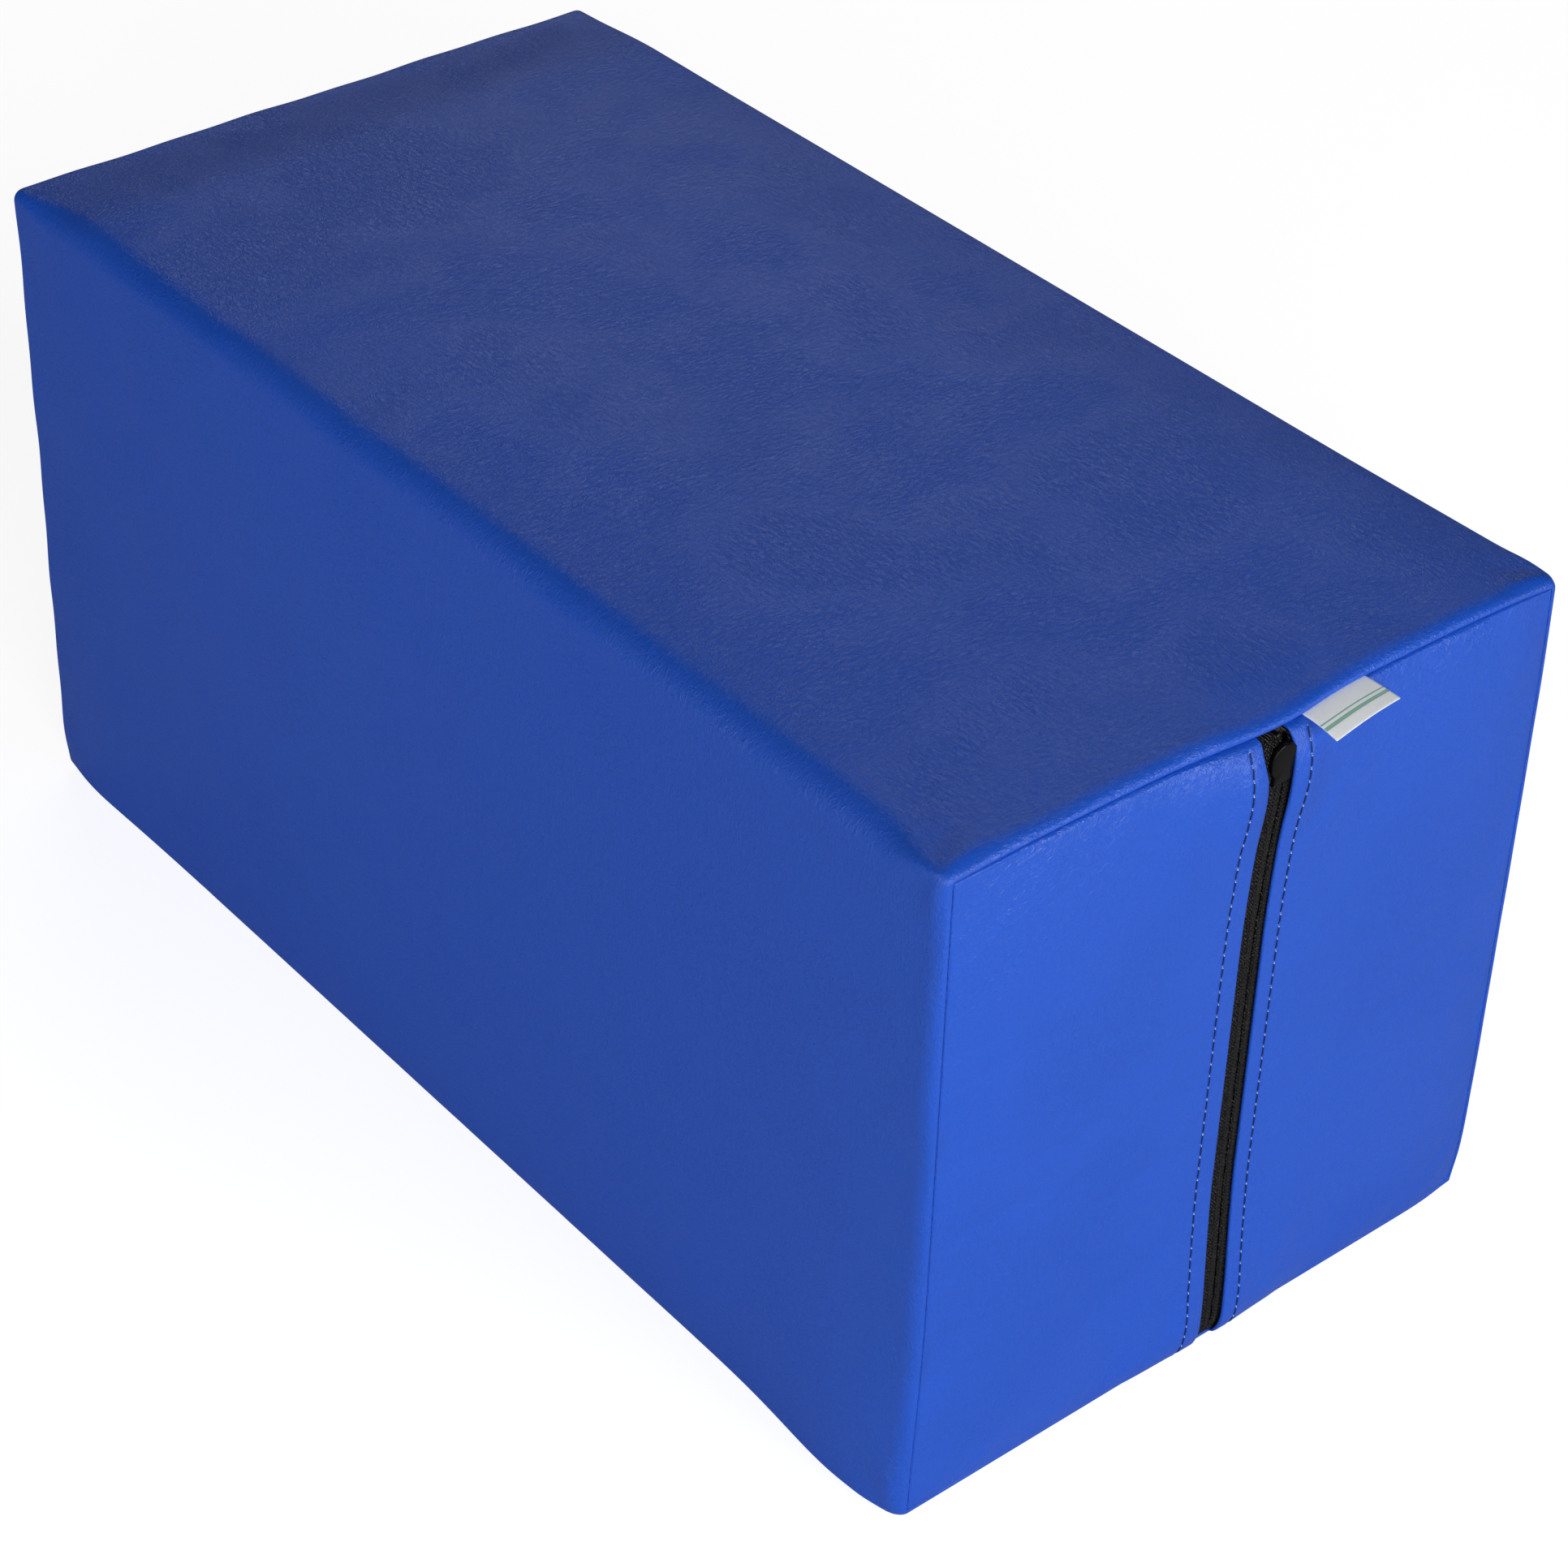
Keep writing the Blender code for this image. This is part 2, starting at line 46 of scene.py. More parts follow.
halfLength = sleeveHigh.y
height = sleeveHigh.z
halfHeight = height / 2

cover = {
    "thickness": 0.0009,
    "lip": 0.0036,          # rolled edge of the sleeve, outside each end seam
    "rollDepth": (0.0056, 0.0030),   # length over which the roll bends round, at the zipped and the far end
    "seamTurn": 0.0006,     # small radius where the sleeve turns into the seam
    "gap": 0.00008,         # between the lip and the panel, at the bottom of the seam ditch
    "edgeRound": {"underLeft": 0.0032, "overLeft": 0.0095, "overRight": 0.0038},   # long edges
    "endRound": 0.0042,     # the same, at the end seams
    "roundFade": 0.032,
    "seamRound": 0.0024,    # the lower edge where the strip closes
    "allowance": 0.0080,
    "sideCrown": 0.0012,
    "puff": 0.0016,         # most that the simulated swelling adds
    "stitchPitch": 0.0048,
}


def smoothStep(t):
    # 3t² - 2t³ between 0 and 1
    t = np.clip(t, 0.0, 1.0)
    return t * t * (3 - 2 * t)


def bell(distance, reach):
    # e to the minus square of distance over reach
    return np.exp(-(distance / reach) ** 2)


def gridFaces(rows, columns, closeColumns=False, keep=None):
    # corner numbers of each cell of a grid, row after row; keep is a mask of the cells to have
    i = np.arange(rows - 1)[:, None]
    j = np.arange(columns if closeColumns else columns - 1)[None, :]
    nextColumn = (j + 1) % columns
    cells = np.stack([i * columns + j, i * columns + nextColumn,
                      (i + 1) * columns + nextColumn, (i + 1) * columns + j], axis=-1)
    return cells[keep] if keep is not None else cells.reshape(-1, 4)


def newPiece(name, points, faces, material=None, uv=None, smooth=True):
    mesh = bpy.data.meshes.new(name)
    points = np.asarray(points, float).reshape(-1, 3)
    mesh.from_pydata(points, [], faces if isinstance(faces, list) else faces.tolist())
    if uv is not None:
        loops = np.zeros(len(mesh.loops), np.int32)
        mesh.loops.foreach_get("vertex_index", loops)
        layer = mesh.uv_layers.new(name="cloth")
        layer.data.foreach_set("uv", np.asarray(uv, np.float32).reshape(-1, 2)[loops].ravel())
    if smooth:
        mesh.shade_smooth()
    mesh.update()
    piece = bpy.data.objects.new(name, mesh)
    if material is not None:
        mesh.materials.append(material)
    bpy.context.scene.collection.objects.link(piece)
    return piece


def flipped(faces):
    return np.asarray(faces)[:, ::-1]


def thicken(piece, thickness):
    solid = piece.modifiers.new("Thickness", "SOLIDIFY")
    solid.thickness = thickness
    solid.offset = -1.0
    solid.use_even_offset = False
    return piece


def resample(values, rows, columns, closed=False):
    # cubic curve through the four nearest grid values, first along rows and then along columns
    def weights(t):
        return (-0.5 * t + t ** 2 - 0.5 * t ** 3, 1 - 2.5 * t ** 2 + 1.5 * t ** 3,
                0.5 * t + 2 * t ** 2 - 1.5 * t ** 3, -0.5 * t ** 2 + 0.5 * t ** 3)

    rowStart = np.floor(rows).astype(int)
    columnStart = np.floor(columns).astype(int)
    total = 0.0
    for i, rowWeight in enumerate(weights(rows - rowStart)):
        row = np.clip(rowStart + i - 1, 0, values.shape[0] - 1)
        for j, columnWeight in enumerate(weights(columns - columnStart)):
            column = columnStart + j - 1
            column = column % values.shape[1] if closed else np.clip(column, 0, values.shape[1] - 1)
            total = total + values[row, column] * rowWeight * columnWeight
    return total


# how the filled cover settles: one soft movement for everything sewn together
settle = {
    "topLift": 0.0043,      # the filled cover stands this much above the seams' corners
    "edgeShare": (0.30, 0.62),   # share of the lift that is lost at the -X and the +X edge
    "dip": 0.0011,          # the top seam comes back down over the zip
    "dipAt": 0.004,
    "dipReach": (0.030, 0.019),   # on its -X and its +X side
    "dipDepth": 0.016,      # its reach along the block
    "seamBulge": 0.0013,    # the seam is pushed outwards there
    "zipBulge": 0.0012,     # and so is the top of the zip
    "zipBulgeFrom": 0.205,
    "leftBow": 0.0040,      # the -X side's lower edge bows outwards
    "leftFoot": 0.0044,     # and more so beside the zipped end
    "footAt": 0.024,
    "footReach": 0.036,
    "leftFar": 0.0024,      # and at the far end
    "rightBow": 0.0010,
    "rightEnd": 0.0024,     # the zipped end is a little wider half way up
    "cornerPulls": (        # corner (x, y, z signs), how far it is pulled in, and its reach
        (-1, 1, -1, 0.0018, 0.014),
        (1, -1, -1, 0.0018, 0.013),
        (1, 1, -1, 0.0020, 0.013),
    ),
}


def settled(points):
    # the top swells up and the sides bow out between the corners, the top seam dips over the zip,
    # and some corners are pulled towards the block's middle
    points = np.array(points, float)
    x, y, z = points[..., 0], points[..., 1], points[..., 2]
    across = np.clip(x / halfWidth, -1, 1)
    along = np.clip(y / halfLength, -1, 1)
    fromEnd = y + halfLength
    moved = points.copy()

    lost = np.where(x < 0, *settle["edgeShare"]) * across ** 6 * (0.85 - 0.35 * along)
    lift = settle["topLift"] * (1 - lost) * (1 - 0.8 * smoothStep((along - 0.8) / 0.2))
    aside = x - settle["dipAt"]
    overZip = bell(aside, np.where(aside < 0, *settle["dipReach"])) * bell(fromEnd, settle["dipDepth"])
    moved[..., 2] += smoothStep((z / height - 0.5) / 0.5) * (lift - settle["dip"] * overZip)
    pushed = settle["seamBulge"] * bell(height - z, 0.0060)
    pushed = pushed + settle["zipBulge"] * smoothStep((z - settle["zipBulgeFrom"]) / 0.030)
    moved[..., 1] -= pushed * overZip

    low = 1 - smoothStep(z / height / 0.9)
    bow = settle["leftBow"] * (0.8 - 0.25 * along) * (1 - along ** 8) * low
    bow = bow + settle["leftFoot"] * bell(fromEnd - settle["footAt"], settle["footReach"]) * bell(z, 0.05)
    bow = bow + settle["leftFar"] * bell(along - 1, 0.2) * low
    moved[..., 0] -= bow * smoothStep(-0.6 - across * 1.5)
    upright = 1 - 0.7 * np.clip(np.abs(z / halfHeight - 1), 0, 1) ** 4
    bow = settle["rightBow"] * (1 - along ** 4) + settle["rightEnd"] * bell(fromEnd, 0.06)
    moved[..., 0] += bow * upright * smoothStep(across * 1.5 - 0.5)

    for sx, sy, sz, pull, reach in settle["cornerPulls"]:
        corner = np.array([sx * halfWidth, sy * halfLength, halfHeight + sz * halfHeight])
        share = bell(np.linalg.norm(points - corner, axis=-1), reach)
        moved += share[..., None] * pull * np.array([-sx, -sy, -sz]) / math.sqrt(3)
    return moved


# cloth simulation of the cover's swelling
swelling = {
    "frames": 20,
    "pressure": 4.0,
    "slack": 0.006,         # how much too large the cloth is cut
    "tension": 12.0,
    "bending": 0.6,
    "mass": 0.3,
    "quality": 6,
}


def swell(name, points, faces, pinned):
    # the sheet, cut a little too large, is blown out from its pinned edges; gives how far each point moved
    piece = newPiece(name, points, faces)
    group = piece.vertex_groups.new(name="sewn")
    group.add([int(i) for i in np.flatnonzero(pinned)], 1.0, "REPLACE")
    cloth = piece.modifiers.new("Cloth", "CLOTH")
    cloth.settings.quality = swelling["quality"]
    cloth.settings.mass = swelling["mass"]
    cloth.settings.tension_stiffness = swelling["tension"]
    cloth.settings.compression_stiffness = swelling["tension"]
    cloth.settings.bending_stiffness = swelling["bending"]
    cloth.settings.shrink_min = -swelling["slack"]
    cloth.settings.use_pressure = True
    cloth.settings.uniform_pressure_force = swelling["pressure"]
    cloth.settings.effector_weights.gravity = 0.0
    cloth.settings.vertex_group_mass = "sewn"
    cloth.collision_settings.use_collision = False
    cloth.point_cache.frame_end = swelling["frames"]
    for step in range(1, swelling["frames"] + 1):
        bpy.context.scene.frame_set(step)
    result = piece.evaluated_get(bpy.context.evaluated_depsgraph_get())
    moved = np.zeros(len(points) * 3)
    result.data.vertices.foreach_get("co", moved)
    bpy.context.scene.frame_set(1)
    bpy.data.objects.remove(piece, do_unlink=True)
    return moved.reshape(-1, 3) - points


# helpers for materials


def addNode(tree, kind, sockets=None, **settings):
    node = tree.nodes.new(kind)
    for key, value in settings.items():
        setattr(node, key, value)
    for key, value in (sockets or {}).items():
        if isinstance(value, bpy.types.NodeSocket):
            tree.links.new(value, node.inputs[key])
        else:
            node.inputs[key].default_value = value
    return node


def math2(tree, operation, a, b=0.0, c=0.0, clamp=False):
    node = addNode(tree, "ShaderNodeMath", {0: a, 1: b, 2: c}, operation=operation, use_clamp=clamp)
    return node.outputs[0]


def noise(tree, where, scale, detail=2.0, **more):
    sockets = {"Vector": where, "Scale": scale, "Detail": detail, **more}
    return addNode(tree, "ShaderNodeTexNoise", sockets).outputs[0]


def remap(tree, value, low, high, toLow=0.0, toHigh=1.0):
    sockets = {"Value": value, "From Min": low, "From Max": high, "To Min": toLow, "To Max": toHigh}
    return addNode(tree, "ShaderNodeMapRange", sockets).outputs[0]


def newGroup(name, numbers, results):
    # takes a vector and the named numbers, and gives the named results
    tree = bpy.data.node_groups.new(name, "ShaderNodeTree")
    tree.interface.new_socket(name="Vector", in_out="INPUT", socket_type="NodeSocketVector")
    for label, value in numbers.items():
        socket = tree.interface.new_socket(name=label, in_out="INPUT", socket_type="NodeSocketFloat")
        socket.default_value = value
    for label in results:
        tree.interface.new_socket(name=label, in_out="OUTPUT", socket_type="NodeSocketFloat")
    return tree, tree.nodes.new("NodeGroupInput").outputs, tree.nodes.new("NodeGroupOutput").inputs


def leatherGrainGroup():
    # two fields of long creases lie across each other, and a slow field says which one shows
    tree, given, result = newGroup(
        "leatherGrain", {"Crease Scale": 760.0, "Pore Scale": 2300.0}, ("Height", "Tone", "Sheen"))
    where = given["Vector"]
    slow = noise(tree, where, 14.0)
    fields = []
    for turn, squeeze in (((0.5, 0.7, 0.2), (1.0, 0.46, 0.54)), ((-0.4, 0.3, 0.9), (0.50, 1.0, 0.46))):
        placed = addNode(tree, "ShaderNodeMapping", {"Vector": where, "Rotation": turn, "Scale": squeeze})
        crease = noise(tree, placed.outputs[0], given["Crease Scale"], 3.0, Roughness=0.55, Distortion=0.8)
        valley = math2(tree, "ABSOLUTE", math2(tree, "SUBTRACT", crease, 0.5))
        fields.append(math2(tree, "MULTIPLY", valley, 5.0, clamp=True))
    share = remap(tree, slow, 0.42, 0.58)
    creases = addNode(tree, "ShaderNodeMix", {"Factor": share, "A": fields[0], "B": fields[1]})
    pores = addNode(tree, "ShaderNodeTexVoronoi", {"Vector": where, "Scale": given["Pore Scale"]})
    fine = math2(tree, "MULTIPLY", pores.outputs["Distance"], 0.22)
    tree.links.new(math2(tree, "ADD", creases.outputs[0], fine), result["Height"])
    tree.links.new(slow, result["Tone"])
    tree.links.new(noise(tree, where, 38.0, 3.0), result["Sheen"])
    return tree


def weaveGroup():
    # crossing sine ridges: one set of threads passes over the other on alternate cells
    tree, given, result = newGroup(
        "weave", {"Across": 2000.0, "Along": 2000.0, "Fuzz": 0.3}, ("Height", "Thread"))
    split = addNode(tree, "ShaderNodeSeparateXYZ", {"Vector": given["Vector"]})
    u = math2(tree, "MULTIPLY", math2(tree, "MULTIPLY", split.outputs[0], given["Across"]), math.pi)
    v = math2(tree, "MULTIPLY", math2(tree, "MULTIPLY", split.outputs[1], given["Along"]), math.pi)
    cell = math2(tree, "MULTIPLY", math2(tree, "SINE", u), math2(tree, "SINE", v))
    ridge = math2(tree, "ABSOLUTE", math2(tree, "SINE", math2(tree, "ADD", u, v)))
    woven = math2(tree, "MULTIPLY_ADD", cell, 0.4, math2(tree, "MULTIPLY", ridge, 0.35))
    rough = math2(tree, "MULTIPLY", noise(tree, given["Vector"], 5200.0), given["Fuzz"])
    tree.links.new(math2(tree, "ADD", woven, rough), result["Height"])
    tree.links.new(math2(tree, "MULTIPLY_ADD", cell, 0.5, 0.5), result["Thread"])
    return tree


def threadGroup():
    # a slanting sine round the thread for its plies, with fine noise for its fibres
    tree, given, result = newGroup("threadTwist", {"Turns": 1100.0}, ("Height", "Ply"))
    split = addNode(tree, "ShaderNodeSeparateXYZ", {"Vector": given["Vector"]})
    along = math2(tree, "MULTIPLY", split.outputs[0], given["Turns"])
    around = math2(tree, "MULTIPLY", split.outputs[1], 2.0)
    wave = math2(tree, "SINE", math2(tree, "MULTIPLY", math2(tree, "ADD", along, around), 2 * math.pi))
    ply = math2(tree, "MULTIPLY_ADD", wave, 0.5, 0.5)
    fibres = noise(tree, given["Vector"], 3000.0)
    tree.links.new(math2(tree, "MULTIPLY_ADD", fibres, 0.4, ply), result["Height"])
    tree.links.new(ply, result["Ply"])
    return tree


def newMaterial(name, roughness, group=None, space="Object", numbers=None, **fixed):
    # gives the shader, the texture coordinates and, where it uses one, the group's results
    made = bpy.data.materials.new(name)
    made.use_nodes = True
    tree = made.node_tree
    shader = tree.nodes["Principled BSDF"]
    shader.inputs["Roughness"].default_value = roughness
    for key, value in fixed.items():
        shader.inputs[key.replace("_", " ")].default_value = value
    place = addNode(tree, "ShaderNodeTexCoord").outputs[space]
    if group is None:
        return made, tree, shader, place
    node = addNode(tree, "ShaderNodeGroup", {"Vector": place, **(numbers or {})}, node_tree=group)
    return made, tree, shader, place, node.outputs


def bump(tree, shader, relief, strength, distance, under=None):
    sockets = {"Height": relief, "Strength": strength, "Distance": distance}
    if under is not None:
        sockets["Normal"] = under
    node = addNode(tree, "ShaderNodeBump", sockets)
    tree.links.new(node.outputs[0], shader.inputs["Normal"])
    return node.outputs[0]


def blendColours(tree, shader, share, low, high):
    # low and high are colours, or the output of an earlier blend
    low, high = (c if isinstance(c, bpy.types.NodeSocket) else (*c, 1.0) for c in (low, high))
    mixed = addNode(tree, "ShaderNodeMix", {0: share, 6: low, 7: high}, data_type="RGBA")
    tree.links.new(mixed.outputs[2], shader.inputs["Base Color"])
    return mixed.outputs[2]


leather = {
    "deep": (0.0105, 0.091, 0.590),
    "light": (0.0132, 0.103, 0.650),
    "roughness": 0.36,
    "patchy": 0.05,         # how far the roughness strays either way
    "waves": 0.13,
    "waveScale": 55.0,
    "waveDepth": 0.0012,
    "grain": 0.42,
    "grainDepth": 0.00045,
}
# blackCloth's light colour is the painted highlight of the tape's specks, and its chain colour the painted
# highlight on the chain's ply crests
blackCloth = {"deep": (0.0015, 0.0015, 0.002), "light": (0.19, 0.18, 0.175), "chain": (0.030, 0.029, 0.028)}
thread = {"deep": (0.002, 0.007, 0.070), "light": (0.004, 0.015, 0.140), "paintedHoleHighlight": (0.62, 0.74, 1.0)}
ribbon = {
    "deep": (0.88, 0.92, 0.95),
    "light": (0.98, 0.99, 1.0),
    "stripe": (0.10, 0.36, 0.24),
    "stripes": ((0.0098, 0.0007), (0.0078, 0.0003)),   # middle and half width of two plain woven stripes
    "ribs": (1900.0, 3600.0),   # threads in a metre
    "glow": 0.12,           # painted glow: a faint emission that brightens the white ribbon, though it is no lamp
}
plastic = {
    "nylon": ((0.002, 0.002, 0.002), (0.006, 0.006, 0.006)),
    "enamel": ((0.003, 0.003, 0.003), (0.006, 0.006, 0.006)),
    "enamelRoughness": (0.14, 0.24),
}

grainGroup = leatherGrainGroup()
clothGroup = weaveGroup()
twistGroup = threadGroup()


def leatherMaterial():
    made, tree, shader, place, grain = newMaterial(
        "blueLeatherette", leather["roughness"], grainGroup, IOR=1.5)
    blendColours(tree, shader, grain["Tone"], leather["deep"], leather["light"])
    low = leather["roughness"] - leather["patchy"]
    high = leather["roughness"] + leather["patchy"]
    tree.links.new(remap(tree, grain["Sheen"], 0.3, 0.7, low, high), shader.inputs["Roughness"])
    waves = noise(tree, place, leather["waveScale"])
    soft = bump(tree, shader, waves, leather["waves"], leather["waveDepth"])
    bump(tree, shader, grain["Height"], leather["grain"], leather["grainDepth"], soft)
    return made


def tapeMaterial():
    # a close weave, with painted highlights: bright specks where single yarns would catch the light
    made, tree, shader, place, woven = newMaterial(
        "blackTape", 0.7, clothGroup, "UV", {"Across": 1700.0, "Along": 1400.0, "Fuzz": 0.5},
        Specular_IOR_Level=0.12)
    # painted highlight: the tape turns pale where a raised yarn meets the noise's peaks
    lit = remap(tree, noise(tree, place, 2100.0), 0.50, 0.62)
    paintedGlints = math2(tree, "MULTIPLY", woven["Thread"], lit)
    blendColours(tree, shader, paintedGlints, blackCloth["deep"], blackCloth["light"])
    bump(tree, shader, woven["Height"], 1.0, 0.0007)
    return made


def chainMaterial():
    made, tree, shader, place, plies = newMaterial(
        "blackChainStitch", 0.45, twistGroup, "UV", {"Turns": 4.0}, Specular_IOR_Level=0.3)
    # painted highlight and shade: lighter on each ply's crest, nearly black in its groove
    blendColours(tree, shader, plies["Ply"], blackCloth["deep"], blackCloth["chain"])
    bump(tree, shader, plies["Height"], 0.5, 0.0001)
    return made


def threadMaterial():
    # navy thread, with a painted highlight at each needle hole: a pale spot where the puckered leather
    # would catch the light
    made, tree, shader, place, plies = newMaterial("navyThread", 0.5, twistGroup, "UV", {"Turns": 900.0})
    # painted shade and highlight: the navy is darker in the grooves between plies and lighter on their
    # crests
    navy = blendColours(tree, shader, plies["Ply"], thread["deep"], thread["light"])
    split = addNode(tree, "ShaderNodeSeparateXYZ", {"Vector": place})
    phase = math2(tree, "FRACT", math2(tree, "DIVIDE", split.outputs[0], cover["stitchPitch"]))
    away = math2(tree, "ABSOLUTE", math2(tree, "SUBTRACT", phase, 0.5))
    # painted highlight: both ends of each stitch turn pale blue
    blendColours(tree, shader, remap(tree, away, 0.365, 0.395), navy, thread["paintedHoleHighlight"])
    bump(tree, shader, plies["Height"], 0.6, 0.0001)
    return made


def nylonMaterial():
    made, tree, shader, place = newMaterial("blackNylon", 0.4, Specular_IOR_Level=0.15)
    cloud = noise(tree, place, 900.0)
    blendColours(tree, shader, cloud, *plastic["nylon"])
    bump(tree, shader, cloud, 0.2, 0.00005)
    return made


def enamelMaterial():
    made, tree, shader, place = newMaterial("blackEnamel", 0.2, Specular_IOR_Level=0.14)
    cloud = noise(tree, place, 700.0, 4.0)
    blendColours(tree, shader, cloud, *plastic["enamel"])
    tree.links.new(remap(tree, cloud, 0.0, 1.0, *plastic["enamelRoughness"]), shader.inputs["Roughness"])
    bump(tree, shader, cloud, 0.15, 0.00006)
    return made


def foamMaterial():
    made, tree, shader, place = newMaterial("openCellFoam", 0.95)
    cells = addNode(tree, "ShaderNodeTexVoronoi", {"Vector": place, "Scale": 900.0}).outputs["Distance"]
    # painted shade: darker at each cell's middle, where the bump is lowest, for the shade in the foam's
    # pores
    blendColours(tree, shader, cells, (0.60, 0.56, 0.42), (0.80, 0.76, 0.62))
    bump(tree, shader, cells, 0.8, 0.0006)
    return made


def ribbonMaterial():
    # sine ribs both ways, and a stripe wherever the distance from its middle is less than its half width
    # the emission is a painted glow that makes the white ribbon brighter, though it is no lamp
    made, tree, shader, place = newMaterial(
        "whiteRibbon", 0.42, space="UV", Specular_IOR_Level=0.9,
        Emission_Color=(0.86, 0.95, 1.0, 1.0), Emission_Strength=ribbon["glow"])
    split = addNode(tree, "ShaderNodeSeparateXYZ", {"Vector": place})
    across, along = (2 * math.pi * threads for threads in ribbon["ribs"])
    across = math2(tree, "SINE", math2(tree, "MULTIPLY", split.outputs[0], across))
    along = math2(tree, "SINE", math2(tree, "MULTIPLY", split.outputs[1], along))
    raised = math2(tree, "MULTIPLY_ADD", along, 0.2, math2(tree, "MULTIPLY_ADD", across, 0.4, 0.5))
    # painted shade: the white is darker in the grooves between ribs and lighter on the ribs
    white = blendColours(tree, shader, raised, ribbon["deep"], ribbon["light"])
    bands = 0.0
    for middle, half in ribbon["stripes"]:
        away = math2(tree, "ABSOLUTE", math2(tree, "SUBTRACT", split.outputs[1], middle))
        bands = math2(tree, "ADD", bands, math2(tree, "LESS_THAN", away, half))
    blendColours(tree, shader, bands, white, ribbon["stripe"])
    bump(tree, shader, raised, 0.5, 0.00012)
    return made


leatherLook = leatherMaterial()
tapeLook = tapeMaterial()
chainLook = chainMaterial()
threadLook = threadMaterial()
nylonLook = nylonMaterial()
enamelLook = enamelMaterial()
ribbonLook = ribbonMaterial()
foamLook = foamMaterial()
print("materials ready")

foamLow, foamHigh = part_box("foam_core")
foam = {"round": 0.011, "endRound": 0.009, "rows": 15, "clear": 0.0026}   # the cover hides it


def roundedLoop(w, h, r, steps):
    # four quarter circles of radius r, joined by straight runs, once round a rectangle in x and z
    angles = np.radians(np.concatenate([np.linspace(a, a + 90, steps) for a in (-90, 0, 90, 180)]))
    x = np.repeat([1, 1, -1, -1], steps) * (w - r) + r * np.cos(angles)
    return x, np.repeat([-1, 1, 1, -1], steps) * (h - r) + r * np.sin(angles)


def makeFoam():
    # the rounded loop carried along the block and drawn in by a quarter circle at each end
    turn = np.linspace(0, math.pi / 2, foam["rows"])
    inset = foam["endRound"] * (1 - np.sin(turn))
    y = foamHigh.y - foam["endRound"] * (1 - np.cos(turn))
    inset = np.concatenate([inset, inset[::-1]])
    y = np.concatenate([-y, y[::-1]])
    cut = (foam["clear"] + inset)[:, None]
    x, z = roundedLoop(halfWidth - cut, halfHeight - cut, foam["round"], 8)
    points = np.stack([x, np.tile(y[:, None], (1, x.shape[1])), z + halfHeight], axis=-1).reshape(-1, 3)
    ends = np.array([[0, -foamHigh.y, halfHeight], [0, foamHigh.y, halfHeight]])
    ring = np.arange(x.shape[1])
    after = (ring + 1) % len(ring)
    last = (len(y) - 1) * len(ring)
    faces = flipped(gridFaces(len(y), len(ring), True)).tolist()
    faces += np.stack([0 * ring + len(points), ring, after], axis=-1).tolist()
    faces += np.stack([0 * ring + len(points) + 1, last + after, last + ring], axis=-1).tolist()
    return newPiece("foam_block", settled(np.concatenate([points, ends])), faces, foamLook)


# the sleeve: one strip wrapped round four sides, its ends rolled into the end seams
sleeve = {
    "runColumns": 54,
    "arcColumns": 9,
    "tuck": 0.0060,         # the strip's two ends turn in at the lower edge
    "tuckColumns": 4,
    "longRows": 104,
    "lipRows": 13,
    "tuckRows": 4,
    "pucker": 0.00020,      # height of the short waves beside the end seams
    "cornerFold": 0.00055,
    "simColumns": 150,
    "simRows": 80,
}


def edgeRound(edge, y):
    # crisp at the end seams, soft between them
    fromEnd = halfLength - np.abs(y)
    soft = cover["edgeRound"][edge]
    return cover["endRound"] + (soft - cover["endRound"]) * smoothStep(fromEnd / cover["roundFade"])


def sleeveOutline(inset, radii):
    # once round from the lower +X edge: under, up, over and down, as straight runs joined by arcs;
    # gives x, z and the outward direction for every row and column
    w = (halfWidth - inset)[:, None]
    h = (halfHeight - inset)[:, None]
    r1, r2, r3, r4 = (np.maximum(r - inset, 0.0005)[:, None] for r in radii)
    parts = []

    def arc(cx, cz, size, start, end):
        a = np.radians(np.linspace(start, end, sleeve["arcColumns"]))[None, :]
        parts.append((cx + size * np.cos(a), cz + size * np.sin(a), np.cos(a) + 0 * cx, np.sin(a) + 0 * cx))

    def run(x0, z0, x1, z1, nx, nz):
        t = np.linspace(0, 1, sleeve["runColumns"] + 2)[None, 1:-1]
        parts.append((x0 + (x1 - x0) * t, z0 + (z1 - z0) * t, nx + 0 * (x0 + t), nz + 0 * (x0 + t)))

    def tuck(part, column, order):
        t = np.linspace(0, sleeve["tuck"], sleeve["tuckColumns"] + 1)[None, 1:][:, ::order] / math.sqrt(2)
        x, z, nx, nz = (values[:, column:column + 1] if column >= 0 else values[:, -1:] for values in part)
        return x - t, z + t, nx + 0 * t, nz + 0 * t

    arc(w - r4, -h + r4, r4, -48, -90)
    run(w - r4, -h, -w + r1, -h, 0, -1)
    arc(-w + r1, -h + r1, r1, -90, -180)
    run(-w, -h + r1, -w, h - r2, -1, 0)
    arc(-w + r2, h - r2, r2, 180, 90)
    run(-w + r2, h, w - r3, h, 0, 1)
    arc(w - r3, h - r3, r3, 90, 0)
    run(w, h - r3, w, -h + r4, 1, 0)
    arc(w - r4, -h + r4, r4, 0, -42)
    parts.insert(0, tuck(parts[0], 0, -1))
    parts.append(tuck(parts[-1], -1, 1))
    return [np.concatenate(values, axis=1) for values in zip(*parts)]


